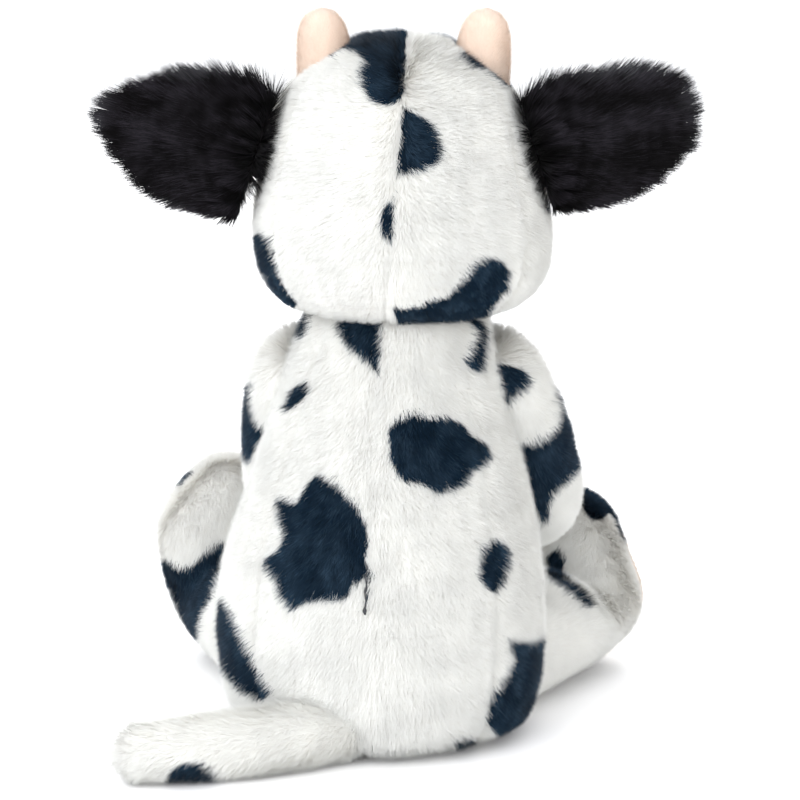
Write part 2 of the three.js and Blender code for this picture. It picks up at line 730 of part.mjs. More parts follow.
function muzzleForm(grow) {
  const sizes = vec(MUZZLE_HALF_WIDTH + grow, MUZZLE_HALF_DEPTH + grow, MUZZLE_HALF_HEIGHT + grow);
  const front = headMiddleY - (headRadiusAt(MUZZLE_LIFT) * HEAD_HALF_DEPTH) / HEAD_HALF_WIDTH;
  return ellipsoid(vec(0, front, MUZZLE_LIFT), sizes, grow < 0 ? SMALL_SIDE_COUNT : MUZZLE_SIDE_COUNT);
}

// Eyes: a domed button on a shank through the skin, held by a washer behind it.
const eyeLift = MUZZLE_LIFT + MUZZLE_HALF_HEIGHT + EYE_RISE;

function eyeFrame(side) {
  const angle = rad(EYE_SPREAD_DEG);
  const width = headRadiusAt(eyeLift);
  const depth = (width * HEAD_HALF_DEPTH) / HEAD_HALF_WIDTH;
  const out = vec((side * Math.sin(angle)) / width, -Math.cos(angle) / depth, 0).normalize();
  const place = vec(side * width * Math.sin(angle), headMiddleY - depth * Math.cos(angle), eyeLift);
  return { place, out };
}

function eyeForm(side) {
  const { place, out } = eyeFrame(side);
  const points = [new THREE.Vector2(0, 0), new THREE.Vector2(EYE_RADIUS, 0)];
  for (let i = 1; i <= CAP_STEP_COUNT; i++) {
    const turn = (Math.PI / 2) * (i / CAP_STEP_COUNT);
    points.push(new THREE.Vector2(EYE_RADIUS * Math.cos(turn), EYE_DOME * Math.sin(turn)));
  }
  points[points.length - 1].x = 0;
  const cap = new THREE.LatheGeometry(points, SMALL_SIDE_COUNT);
  cap.applyQuaternion(new THREE.Quaternion().setFromUnitVectors(vec(0, 1, 0), out));
  const base = place.clone().addScaledVector(out, GAP);
  cap.translate(base.x, base.y, base.z);
  const shank = rod(
    base.clone().addScaledVector(out, EYE_DOME / 2),
    place.clone().addScaledVector(out, -EYE_SHANK_LENGTH),
    EYE_SHANK_RADIUS,
    TINY_SIDE_COUNT,
  );
  return solid(cap).add(shank);
}

function washerForm(side) {
  const { place, out } = eyeFrame(side);
  const inner = place.clone().addScaledVector(out, -PILE_SKIN - GAP);
  const outer = inner.clone().addScaledVector(out, -WASHER_THICKNESS);
  const facet = Math.cos(Math.PI / TINY_SIDE_COUNT);
  const bore = rod(
    inner.clone().addScaledVector(out, OVERRUN),
    outer.clone().addScaledVector(out, -OVERRUN),
    (EYE_SHANK_RADIUS + WASHER_BORE_CLEARANCE) / facet,
    TINY_SIDE_COUNT,
  );
  return rod(inner, outer, WASHER_RADIUS).subtract(bore);
}

// The eye's hole through the skin, the flat it is pressed down on, and the pocket behind for its washer.
function eyeHole(side) {
  const { place, out } = eyeFrame(side);
  const facet = Math.cos(Math.PI / TINY_SIDE_COUNT);
  const pressed = rod(
    place,
    place.clone().addScaledVector(out, OVERRUN),
    (EYE_RADIUS + GAP) / Math.cos(Math.PI / SMALL_SIDE_COUNT),
  );
  const bore = rod(
    place.clone().addScaledVector(out, OVERRUN),
    place.clone().addScaledVector(out, -EYE_SHANK_LENGTH - GAP),
    (EYE_SHANK_RADIUS + WASHER_BORE_CLEARANCE) / facet,
    TINY_SIDE_COUNT,
  );
  return pressed.add(bore);
}

function washerPocket(side) {
  const { place, out } = eyeFrame(side);
  return rod(
    place.clone().addScaledVector(out, -PILE_SKIN),
    place.clone().addScaledVector(out, -PILE_SKIN - WASHER_THICKNESS - GAP * 2),
    (WASHER_RADIUS + GAP) / Math.cos(Math.PI / SMALL_SIDE_COUNT),
  );
}

const bothSides = (make) => wasm.Manifold.union(Object.values(sides).map(make));
const headGrooves = bothSides((side) => earGroove(side, 0));
const headOuter = headForm(0).subtract(headGrooves);
const headHollow = headForm(-PILE_SKIN, COARSE).subtract(
  bothSides((side) => earGroove(side, PILE_SKIN)),
);
const headFill = headForm(-PILE_SKIN - GAP, COARSE).subtract(
  bothSides((side) => earGroove(side, PILE_SKIN + GAP)),
);
const headHole = rod(vec(0, 0, -OVERRUN), vec(0, 0, PILE_SKIN * 2), NECK_OPENING_RADIUS, INNER_SIDE_COUNT);
const headPlug = rod(
  vec(0, 0, GAP / 2 + GAP),
  vec(0, 0, PILE_SKIN * 2),
  NECK_OPENING_RADIUS - GAP,
  INNER_SIDE_COUNT,
);
const aboveSeam = beyond(vec(0, 0, GAP), vec(0, 0, -1));
const headSkin = headOuter
  .subtract(headHollow)
  .subtract(headHole)
  .subtract(bothSides(eyeHole))
  .subtract(bothSides(washerPocket))
  .subtract(aboveSeam);
const headStuffing = headFill
  .add(headPlug)
  .subtract(bothSides(eyeHole))
  .subtract(bothSides(washerPocket));

const head = new THREE.Group();
head.position.copy(neck);
head.rotation.z = rad(HEAD_TURN_DEG);
head.add(piece("head_skin", headSkin, whitePile));
head.add(piece("head_stuffing", headStuffing, fibreFill));

const clearOfHead = headForm(GAP);
const muzzleOuter = muzzleForm(0).subtract(clearOfHead);
head.add(piece("muzzle_skin", muzzleOuter.subtract(muzzleForm(-MUZZLE_SKIN)), peachSuede));
head.add(
  piece("muzzle_stuffing", muzzleForm(-MUZZLE_SKIN - GAP).subtract(clearOfHead), fibreFill),
);

const clearOfHeadAtEars = clearOfHead.subtract(headGrooves);
for (const [name, side] of Object.entries(sides)) {
  head.add(piece(`eye_${name}`, eyeForm(side), glossBlack));
  head.add(piece(`eye_washer_${name}`, washerForm(side), nylon));
  const hornOuter = hornForm(side, 0).subtract(clearOfHead);
  const hornHollow = hornForm(side, -SUEDE_SKIN);
  head.add(piece(`horn_${name}_skin`, hornOuter.subtract(hornHollow), peachSuede));
  head.add(
    piece(
      `horn_${name}_stuffing`,
      hornForm(side, -SUEDE_SKIN - GAP).subtract(clearOfHead),
      fibreFill,
    ),
  );
  const ear = earForm(side, 0).subtract(clearOfHeadAtEars);
  const { root } = earFrame(side);
  const back = beyond(vec(0, root.y + GAP / 2, 0), vec(0, 1, 0));
  const front = beyond(vec(0, root.y - GAP / 2, 0), vec(0, -1, 0));
  head.add(piece(`ear_${name}_fur`, ear.intersect(back), blackPile));
  head.add(piece(`ear_${name}_lining`, ear.intersect(front), peachSuede));
}

const cow = new THREE.Group();
cow.add(torso, head);

export default cow;
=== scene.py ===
"""A seated plush cow, dressed over its CAD frame.

Every skin is a stuffed bag of pile fabric. Its form is worked out from the same measures as the
solids and swollen by Cloth. Blades of pile then grow on it, along the fabric's nap. Measures are in
millimetres in the frame's own axes. The cow faces -Y and its own left is +X.
"""

import json

import bpy
import numpy as np
from mathutils import Matrix


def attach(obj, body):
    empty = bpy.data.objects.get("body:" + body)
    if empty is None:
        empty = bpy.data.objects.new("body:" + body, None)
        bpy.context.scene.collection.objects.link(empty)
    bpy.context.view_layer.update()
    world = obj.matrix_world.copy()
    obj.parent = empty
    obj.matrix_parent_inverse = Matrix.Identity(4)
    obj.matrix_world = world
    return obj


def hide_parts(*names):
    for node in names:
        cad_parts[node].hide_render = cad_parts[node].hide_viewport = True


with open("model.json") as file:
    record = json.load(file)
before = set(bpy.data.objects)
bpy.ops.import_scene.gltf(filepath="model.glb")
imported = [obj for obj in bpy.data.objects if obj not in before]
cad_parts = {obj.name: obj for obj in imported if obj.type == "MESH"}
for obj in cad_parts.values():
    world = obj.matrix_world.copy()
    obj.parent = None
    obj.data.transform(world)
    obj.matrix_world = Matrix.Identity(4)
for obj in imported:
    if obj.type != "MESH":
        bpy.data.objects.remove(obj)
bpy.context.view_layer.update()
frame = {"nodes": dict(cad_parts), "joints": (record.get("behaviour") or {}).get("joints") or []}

MM = 0.001
TURN = 2 * np.pi
UP = np.array((0.0, 0.0, 1.0))
FAR = 99.0
SIDES = {"left": 1, "right": -1}

# The camera that was fitted to the photograph
PHOTO_PIXELS = 800
FOCAL_PIXELS = 2684
CAMERA_DISTANCE = 1100
CAMERA_RISE_DEG = 12
CAMERA_TURN_DEG = 185  # 180 is straight behind the cow
CAMERA_AIM = np.array((-8, 0, 141.4))
SENSOR_WIDTH = 36

# Body
BODY_HEIGHT = 180
BODY_HALF_WIDTH = 69
BODY_HALF_DEPTH = 57
BODY_LEAN = -6.5  # sideways, over its whole height
BODY_RADIUS_SHARES = (0.5, 0.78, 0.92, 0.99, 1, 0.965, 0.89, 0.79, 0.7, 0.62, 0.52)
BODY_LEVEL_SHARES = (0, 0.025, 0.09, 0.19, 0.33, 0.46, 0.57, 0.69, 0.79, 0.88, 1)
BODY_SEAM_FOOT = 2.5  # where the centre-back seam is at the floor, and how it leans
BODY_SEAM_LEAN = -0.029

# Head, in its own frame on the neck
NECK = np.array((-6.5, 0, 180))
HEAD_TURN_DEG = 5
HEAD_HEIGHT = 111.5
HEAD_HALF_WIDTH = 59.5
HEAD_HALF_DEPTH = 56
HEAD_FORWARD = 6
HEAD_RADIUS_SHARES = (0.5, 0.72, 0.87, 0.96, 1, 0.99, 0.95, 0.885, 0.79, 0.63, 0.42, 0.2)
HEAD_LEVEL_SHARES = (0, 0.045, 0.125, 0.22, 0.33, 0.45, 0.58, 0.71, 0.82, 0.905, 0.965, 0.995)
HEAD_SEAM_FOOT = 5
HEAD_SEAM_LEAN = -0.085

# Face and horns, in the head's frame
MUZZLE_LIFT = 30
MUZZLE_HALF_SIZES = np.array((34, 26, 23))
MUZZLE_CREASE = 4
EYE_LIFT = 62
EYE_SPREAD_DEG = 26
EYE_RADIUS = 6.5
EYE_DOME = 4
EYE_EDGE = 0.6
EYE_SHANK_RADIUS = 2
EYE_SHANK_LENGTH = 16
HORN_SPREAD = 30.5
HORN_OFFSET = 3
HORN_FOOT_LIFT = 86
HORN_HEIGHT = 33
HORN_RADIUS = 10.5
HORN_LEAN_DEG = 5
HORN_GROWTH = 0.2
HORN_RADIUS_SHARES = (1.02, 1.03, 1, 0.94, 0.84, 0.66, 0.4)
HORN_LEVEL_SHARES = (0, 0.2, 0.4, 0.6, 0.78, 0.9, 0.97)

# Ears, in the head's frame
EAR_LIFT = 63
EAR_OUT = 4.5  # from the head's side to the ear's root edge
EAR_BACK = 4
EAR_TILT_DEG = 12
EAR_LENGTH = 53
EAR_HALF_HEIGHT = 29.5
EAR_HALF_THICKNESS = 4.5
EAR_LINING_INSET = 2
EAR_LINING_HALF_THICKNESS = 3.2
EAR_LINING_SHIFT = -3.6
EAR_THICKNESS_SHARES = (1, 1, 0.97, 0.92, 0.85, 0.75, 0.62, 0.45)
EAR_STATION_SHARES = (0, 0.15, 0.32, 0.5, 0.66, 0.8, 0.91, 0.98)
EAR_START_SHARE = -0.1
EAR_ROOT_SHEAR_SHARE = 0.12  # the root edge leans in over the head at its top
# The pad under an ear's fur narrows to its tip more than the whole ear, by as much as the fur spreads
EAR_PAD_SHARES = {
    "left": (0.97, 1, 0.98, 0.86, 0.7, 0.53, 0.37, 0.2),
    "right": (0.92, 0.97, 1, 0.93, 0.83, 0.7, 0.55, 0.38),
}
EAR_PAD_HALF_HEIGHTS = {"left": 26, "right": 24}
EAR_TIP_RISES = {"left": 3.5, "right": 5.5}
EAR_ROOT_BACK = 7

# Limbs. A joint's place is where the limb is sewn on.
SHOULDERS = {"left": np.array((35.87, -12.15, 149)), "right": np.array((-46.63, -12.15, 149))}
ARM_RADIUS = 18.5
ARM_HALF_LENGTH = 44
ARM_FORWARD_DEG = {"left": 40, "right": 36}
ARM_OUTWARD_DEG = {"left": 6.5, "right": 12.5}
ARM_RADIUS_SHARES = (0.95, 0.97, 0.96, 0.94, 0.96, 1.04, 1.06)
HIPS = {"left": np.array((37.98, -20.97, 26)), "right": np.array((-39.86, -20.97, 26))}
LEG_RADIUS = 26.5
LEG_SPREAD_DEG = {"left": 28, "right": 25}
THIGH_LENGTH = 79.5
THIGH_RADIUS_SHARES = (0.95, 0.97, 0.98, 0.98, 0.95, 0.92, 0.9)
LEG_REACH = 92
HEEL_HEIGHT = 24.5
FOOT_HALF_WIDTH = 28.5
FOOT_HALF_HEIGHT = 46
FOOT_HALF_LENGTH = 25
FOOT_LEAN_DEG = {"left": 4, "right": 22}
FOOT_ROLL_DEG = {"left": 3, "right": 16}
SOLE_INSET = 10
SOLE_RIM = 4
SOLE_THICKNESS = 3
SOLE_TUCK = 2.4  # how deep its edge is sewn in
SOLE_EDGE_SHARE = 0.72  # the pad's thickness at its edge
TAIL_ROOT = np.array((12.84, 41.48, 14.5))
TAIL_HALF_LENGTH = 38
TAIL_AIMS_DEG = (52, 80)
TAIL_RADIUS = 15
TAIL_RADIUS_SHARES = (0.96, 0.99, 1, 1, 0.98, 0.94, 0.86)
TAIL_END_PLUMP = 8

# Stuffed skins: each starts inside its solid and swells
NECK_OVERLAP = 1.5
SKIN_INSET = 3.4
SKIN_SWELL = 2.9  # the most that a point may move
SWELL_FRAMES = 20
FLOOR_GAP = 0.3
SKIN_FLOOR = 1.2
SEAM_HALF_WIDTH = 1.8
HEAD_SEAM_DEPTH = 0.8
BODY_SEAM_DEPTH = 0.5
SIDE_SEAM_DEPTH = 1.1
BODY_SIDE_SEAM_DEG = 45  # from straight behind
HEAD_SIDE_SEAM_DEG = 54
CLOSED_GAP_FOOT = 68  # the stretch of the centre-back seam that was sewn shut by hand
CLOSED_GAP_TOP = 84
CLOSED_GAP_HALF_WIDTH = 1
CLOSING_THREAD_RADIUS = 0.38
CLOSING_STITCHES = 5
CLOSING_SWAY = 0.2
ARM_PLUMPS = {"left": 1.8, "right": 2.8}
# The stuffing isn't even. Each: height, reach up and down, and share of the width lost or gained.
BODY_WAISTS = {"left": (110, 32, 0.065), "right": (90, 58, 0.085)}
HEAD_JOWLS = {"left": (5, 17, 0.11), "right": (5, 19, 0.15)}
HEAD_FILL_SHARES = {"left": 0.975, "right": 1.04}
FOOT_SAGS = {"left": -4, "right": 12}
FOOT_BULGE_HEIGHTS = (62, 24.5)
FOOT_BULGE_REACH = 20
FOOT_BULGES = {"left": (8, 1), "right": (-2, 11)}  # at those heights, on the outer side

# Pile
PILE_LENGTH = 8
WHITE_PILE = (PILE_LENGTH, 0.4, 7.5)  # length, width, and blades to a square millimetre
EAR_PILE = (15, 0.46, 9)
VELOUR_LENGTH = 1.7
VELOUR_PILE = (VELOUR_LENGTH, 0.34, 8)
PILE_LEAN_DEG = 50
LIMB_PILE_LEAN_DEG = 63
EAR_PILE_LEAN_DEG = 60
VELOUR_LEAN_DEG = 40
LEAN_LIMITS_DEG = (4, 84)
ROLL_SPREAD_DEG = 9
NAP_SPREAD_DEG = 17
SOFTNESS_SHARE = 0.65  # how much a blade takes light as the skin under it does
GATHER_SHARE = 0.16
TUFT = 5.5  # mm between the tufts that pile gathers into
LOCK_WIDTH = 1.7  # strands of one tone
HANGING_LOCK = (1, 1, 0.3)  # their place is squeezed by this, so that a lock is long along its nap
LYING_LOCK = (0.25, 1, 1)
SEAM_PARTING_WIDTH = 1.3
SIDE_SEAM_TRIM_WIDTH = 2.2
MOST_BLADES = 190000  # in one piece, under 200,000 triangles

# Light: each lamp's place in metres, size, power and colour
LAMPS = {
    "window": ((1.3, 2.25, 1.2), 2.0, 34, "#f8faff"),
    "behind": ((-0.2, 1.6, 0.35), 1.0, 3.5, "#ffffff"),
    "high_behind": ((-0.1, 1.6, 1.6), 1.2, 7.5, "#ffffff"),
    "above": ((0.7, 0.7, 2.3), 2.0, 10, "#ffffff"),
    "low_side": ((-1.9, -0.1, 0.5), 1.2, 2.5, "#ffe6cc"),
    "low_left": ((0.75, 1.35, 0.18), 1.0, 6, "#ffffff"),
    "front": ((0.6, -2.0, 1.2), 1.6, 30, "#ffffff"),
}
STUDIO_COLOUR = "#fbfcff"
STUDIO_STRENGTH = 1.31
FLOOR_REACH = 9000.0

# Dark spots as the photograph's frame shows them, outlined in its pixels. The seam cuts those of
# either side.
HEAD_SPOTS = {
    "left": {
        "crown": (
            (326, 52), (336, 41), (347, 32), (364, 18), (416, 16), (412, 60), (408, 90), (395, 102),
            (383, 106), (370, 100), (361, 85), (360, 70), (364, 61), (354, 50), (341, 49), (331, 57),
        ),
        "beside_seam": ((404, 190), (400, 230), (392, 246), (383, 236), (379, 221), (384, 206), (395, 197)),
        "cheek": (
            (259, 232), (268, 240), (273, 260), (279, 277), (288, 293), (298, 303), (290, 312),
            (276, 300), (258, 268), (250, 240),
        ),
    },
    "right": {
        "beside_seam": (
            (402, 108), (412, 112), (428, 121), (440, 136), (443, 150), (438, 162), (424, 170),
            (405, 175), (396, 176),
        ),
        "horn_foot": (
            (460, 54), (470, 47), (484, 54), (497, 65), (512, 64), (522, 68), (515, 80), (510, 88),
            (501, 83), (488, 70), (472, 67),
        ),
        "low": (
            (395, 310), (423, 307), (445, 297), (462, 282), (473, 267), (488, 257), (502, 261),
            (511, 273), (508, 290), (497, 304), (486, 320), (474, 340), (430, 335), (400, 330), (395, 318),
        ),
        "cheek": ((546, 200), (556, 198), (556, 214), (548, 214)),
    },
}
BODY_SPOTS = {
    "left": {
        "neck": ((299, 308), (308, 316), (307, 328), (302, 339), (294, 334), (294, 318)),
        "shoulder": ((283, 407), (290, 392), (301, 383), (310, 391), (305, 398), (296, 407), (286, 412)),
        "triangle": (
            (334, 322), (353, 318), (386, 319), (386, 345), (380, 366), (383, 380), (370, 366),
            (355, 353), (342, 341),
        ),
        "big": (
            (273, 497), (285, 500), (299, 503), (303, 488), (316, 475), (330, 482), (343, 493),
            (356, 507), (367, 528), (367, 545), (364, 562), (374, 572), (362, 583), (351, 585),
            (345, 599), (325, 600), (308, 602), (291, 611), (280, 598), (276, 580), (265, 568),
            (266, 559), (280, 548), (284, 536), (279, 518),
        ),
        "low": (
            (222, 598), (231, 614), (239, 633), (248, 655), (259, 677), (271, 694), (262, 702),
            (240, 690), (222, 668), (212, 640), (210, 612),
        ),
    },
    "right": {
        "neck": (
            (462, 314), (480, 320), (488, 330), (486, 350), (486, 366), (479, 373), (467, 366),
            (476, 345), (480, 333),
        ),
        "middle": (
            (388, 431), (396, 420), (412, 414), (430, 419), (451, 418), (466, 428), (474, 438),
            (489, 445), (492, 456), (485, 465), (472, 470), (465, 482), (450, 493), (435, 492),
            (423, 484), (406, 483), (396, 474), (391, 458),
        ),
        "small": (
            (483, 550), (498, 540), (508, 546), (510, 562), (505, 579), (497, 594), (485, 588), (479, 576),
        ),
        "low": (
            (556, 624), (545, 638), (528, 642), (510, 641), (514, 657), (509, 674), (500, 688),
            (489, 704), (487, 722), (498, 740), (528, 734), (562, 695), (574, 650),
        ),
        "underside": ((454, 742), (474, 738), (476, 752), (456, 752)),
    },
}
ARM_SPOTS = {
    "left": {
        "elbow": (
            (250, 382), (250, 404), (254, 422), (264, 431), (257, 447), (249, 464), (238, 452),
            (232, 426), (236, 396),
        ),
    },
    "right": {
        "shoulder": (
            (486, 366), (500, 364), (523, 369), (531, 380), (525, 390), (512, 399), (503, 408), (488, 396),
        ),
        "elbow": (
            (556, 384), (569, 400), (580, 425), (584, 447), (580, 468), (566, 482), (553, 494),
            (548, 507), (548, 519), (541, 524), (531, 492), (522, 460), (518, 444), (536, 445),
            (549, 438), (559, 424), (561, 408),
        ),
    },
}
LEG_SPOTS = {
    "left": {
        "shin": (
            (158, 562), (167, 562), (178, 570), (191, 567), (204, 556), (213, 547), (226, 543),
            (222, 560), (216, 580), (210, 601), (200, 619), (197, 642), (190, 640), (178, 612),
            (168, 590), (158, 575),
        ),
    },
    "right": {
        "toe": ((577, 489), (590, 488), (603, 498), (614, 510), (604, 518), (592, 520), (583, 509)),
        "thigh": (
            (546, 556), (558, 550), (565, 560), (563, 573), (572, 582), (585, 591), (595, 606),
            (587, 608), (573, 595), (557, 584), (548, 578),
        ),
    },
}
TAIL_SPOTS = {
    "tip": (
        (168, 778), (175, 767), (188, 763), (201, 765), (211, 774), (221, 784), (210, 796),
        (188, 796), (172, 794),
    ),
}

# The rest of the cow isn't in the photograph. These spots are made up: middle and radius.
HEAD_SPOTS_AHEAD = (((24, -44, 250), 22), ((-45, -38, 222), 13), ((-24, -28, 282), 15), ((38, -36, 196), 9))
BODY_SPOTS_AHEAD = (((-30, -46, 92), 19), ((26, -42, 140), 12), ((40, -36, 66), 14), ((-12, -30, 168), 8))
ARM_SPOTS_AHEAD = (((44, -52, 86), 11), ((-60, -40, 112), 12))
LEG_SPOTS_AHEAD = (((62, -58, 50), 15), ((90, -100, 78), 11), ((-56, -62, 50), 13), ((-92, -118, 60), 10))


def unit(vectors):
    """Each vector over its own length."""
    return vectors / np.maximum(np.linalg.norm(vectors, axis=-1, keepdims=True), 1e-9)


def along(one, other):
    """The dot product of each pair of vectors."""
    return (one * other).sum(-1)


def turned(vectors, axis, degrees):
    """Rodrigues' turn: v cos + (axis x v) sin + axis (axis . v)(1 - cos)."""
    angle = np.radians(degrees)
    axis = unit(np.asarray(axis, float))
    vectors = np.asarray(vectors, float)
    lifted = np.cross(axis, vectors)
    kept = along(vectors, axis)[..., None] * axis
    return vectors * np.cos(angle) + lifted * np.sin(angle) + kept * (1 - np.cos(angle))


def bell(distance, reach):
    """A bell curve: 1 at no distance, and 1 / e at the reach."""
    return np.exp(-((distance / reach) ** 2))


def eased(share):
    """From 0 to 1 with a smooth start and end."""
    share = np.clip(share, 0, 1)
    return share * share * (3 - 2 * share)


def curve(levels, values, at):
    """A smooth curve through values at their levels: Hermite pieces, sloped by both neighbours."""
    levels = np.asarray(levels, float)
    values = np.asarray(values, float)
    slopes = np.gradient(values, levels)
    i = np.clip(np.searchsorted(levels, at, side="right") - 1, 0, len(levels) - 2)
    span = levels[i + 1] - levels[i]
    t = np.clip((at - levels[i]) / span, 0, 1)
    rise = values[i] * (1 + 2 * t) * (1 - t) ** 2 + values[i + 1] * t**2 * (3 - 2 * t)
    return rise + span * (slopes[i] * t * (1 - t) ** 2 + slopes[i + 1] * t**2 * (t - 1))


def evenly(shares, count):
    """Shares that lie evenly spread, at a count of even places."""
    return curve(np.linspace(0, 1, len(shares)), shares, np.linspace(0, 1, count))


def lattice(cells, salt):
    """A steady pseudo-random number from 0 to 1 for each whole cell: the tail of a large sine."""
    return np.modf(np.abs(np.sin(cells @ (12.9898, 78.233, 37.719) + salt) * 43758.5453))[0]


def noise(points, period, salt=0.0):
    """Smooth noise from -1 to 1: random values at the corners of a cubic lattice, eased between."""
    low = np.floor(points / period)
    t = eased(points / period - low)
    total = np.zeros(len(points))
    for corner in np.ndindex(2, 2, 2):
        weight = np.where(corner, t, 1 - t).prod(axis=1)
        total += weight * lattice(low + corner, salt)
    return 2 * total - 1


def in_head(points):
    """From the world to the head's own frame."""
    return turned(points - NECK, UP, -HEAD_TURN_DEG)


def from_head(points):
    """From the head's own frame to the world."""
    return turned(points, UP, HEAD_TURN_DEG) + NECK


# Camera
rise = np.radians(CAMERA_RISE_DEG)
turn = np.radians(CAMERA_TURN_DEG)
TO_CAMERA = np.array((np.sin(turn) * np.cos(rise), -np.cos(turn) * np.cos(rise), np.sin(rise)))
CAMERA_PLACE = CAMERA_AIM + CAMERA_DISTANCE * TO_CAMERA
VIEW_RIGHT = unit(np.cross(-TO_CAMERA, UP))
VIEW_UP = np.cross(VIEW_RIGHT, -TO_CAMERA)


def photo_pixels(points):
    """Where each point is in the photograph's frame: pixels from its left and from its top."""
    from_camera = points - CAMERA_PLACE
    depth = from_camera @ -TO_CAMERA
    across = PHOTO_PIXELS / 2 + FOCAL_PIXELS * (from_camera @ VIEW_RIGHT) / depth
    down = PHOTO_PIXELS / 2 - FOCAL_PIXELS * (from_camera @ VIEW_UP) / depth
    return across, down


def put(name, data, right, up, back, place):
    """An object of the data at a place in metres, with its own axes along three directions."""
    made = bpy.data.objects.new(name, data)
    bpy.context.scene.collection.objects.link(made)
    axes = np.eye(4)
    axes[:3] = np.stack((right, up, back, place), axis=1)
    made.matrix_world = Matrix(axes.tolist())
    return made


# Meshes
def new_object(name, points, corners, face_sizes):
    """A mesh object at the origin from points in mm, the faces' corners in turn, and their sizes."""
    mesh = bpy.data.meshes.new(name)
    mesh.vertices.add(len(points))
    mesh.vertices.foreach_set("co", (points * MM).astype(np.float32).ravel())
    mesh.loops.add(len(corners))
    mesh.loops.foreach_set("vertex_index", corners.astype(np.int32))
    mesh.polygons.add(len(face_sizes))
    starts = np.cumsum(face_sizes) - face_sizes
    mesh.polygons.foreach_set("loop_start", starts.astype(np.int32))
    mesh.update(calc_edges=True)
    mesh.shade_smooth()
    made = bpy.data.objects.new(name, mesh)
    bpy.context.scene.collection.objects.link(made)
    return made


def closed_faces(rings, sides, start=0):
    """A closed skin's faces as corners and sizes: quads between rings, and triangles to each pole.

    Points are the rings one after another, then the first pole and the last.
    """
    i, j = np.meshgrid(np.arange(rings - 1), np.arange(sides), indexing="ij")
    here, below = i * sides, (i + 1) * sides
    after = (j + 1) % sides
    quads = np.stack((here + j, here + after, below + after, below + j), axis=-1)
    j = np.arange(sides)
    after = (j + 1) % sides
    first = np.stack((np.full(sides, rings * sides), after, j), axis=-1)
    last_ring = (rings - 1) * sides
    last = np.stack((np.full(sides, rings * sides + 1), last_ring + j, last_ring + after), axis=-1)
    corners = np.concatenate((quads.ravel(), first.ravel(), last.ravel())) + start
    return corners, np.concatenate((np.full(quads.size // 4, 4), np.full(2 * sides, 3)))


def skin_object(name, grids):
    """One object from closed skins. Each grid is rings x sides x 3, with a pole at each end."""
    points, corners, sizes = [], [], []
    start = 0
    for grid in grids:
        rings, sides = grid.shape[:2]
        poles = (grid[:1].mean(axis=1), grid[-1:].mean(axis=1))
        points.append(np.concatenate((grid.reshape(-1, 3), *poles)))
        some_corners, some_sizes = closed_faces(rings, sides, start)
        corners.append(some_corners)
        sizes.append(some_sizes)
        start += rings * sides + 2
    return new_object(name, np.concatenate(points), np.concatenate(corners), np.concatenate(sizes))


def loft(middles, across, over, wide, deep, sides=48):
    """Ring i is middles[i] + across wide[i] cos t + over deep[i] sin t, with t once round."""
    t = np.linspace(0, TURN, sides, endpoint=False)
    wide = (np.asarray(wide)[:, None] * np.cos(t))[..., None]
    deep = (np.asarray(deep)[:, None] * np.sin(t))[..., None]
    across, over = (np.broadcast_to(way, middles.shape)[:, None] for way in (across, over))
    return middles[:, None] + wide * across + deep * over


def tube(middles, radii, beside=UP, sides=40):
    """A loft along a path with a round cap at each end: rings r sin a beyond it, r cos a wide."""
    ahead = unit(np.gradient(middles, axis=0))
    a = np.linspace(0, np.pi / 2, 7)[1:]
    first = middles[0] - ahead[0] * radii[0] * np.sin(a)[::-1, None]
    last = middles[-1] + ahead[-1] * radii[-1] * np.sin(a)[:, None]
    middles = np.concatenate((first, middles, last))
    before, after = (np.repeat(end, len(a), axis=0) for end in (ahead[:1], ahead[-1:]))
    ahead = np.concatenate((before, ahead, after))
    radii = np.concatenate((radii[0] * np.cos(a)[::-1], radii, radii[-1] * np.cos(a)))
    across = unit(np.cross(ahead, beside))
    return loft(middles, across, np.cross(ahead, across), radii, radii, sides)


def bend(start, middle, end, count=24):
    """A quadratic Bezier curve."""
    t = np.linspace(0, 1, count)[:, None]
    return start * (1 - t) ** 2 + 2 * middle * t * (1 - t) + end * t**2


def turned_form(radius_shares, level_shares, half_width, half_depth, foot, top, inset, rings=40):
    """A form turned on an oval from foot to top: its half width follows the shares, less the inset."""
    levels = np.linspace(0, 1, rings)
    shares = curve(level_shares, radius_shares, levels)
    middles = np.zeros((rings, 3))
    middles[:, 2] = foot + levels * (top - foot)
    wide, deep = (np.maximum(shares * half - inset, 1) for half in (half_width, half_depth))
    return loft(middles, (1.0, 0, 0), (0, 1.0, 0), wide, deep, sides=72)


def widen(grid, changes, gain, fills):
    """Scales each side's width by its fill, and by a bell curve of the height."""
    for name, side in SIDES.items():
        height, reach, share = changes[name]
        wider = fills[name] * (1 + gain * share * bell(grid[..., 2] - height, reach))
        grid[..., 0] *= np.where(grid[..., 0] * side > 0, wider, 1)


# Forms of the skins, each brought in by an inset
def body_form(inset):
    """The body: an oval turned form, slimmed at its waist, that leans sideways with its height."""
    shares = (BODY_RADIUS_SHARES, BODY_LEVEL_SHARES)
    top = BODY_HEIGHT + NECK_OVERLAP
    grid = turned_form(*shares, BODY_HALF_WIDTH, BODY_HALF_DEPTH, inset, top, inset)
    widen(grid, BODY_WAISTS, -1, {"left": 1, "right": 1})
    grid[..., 0] += BODY_LEAN * grid[..., 2] / BODY_HEIGHT
    return grid


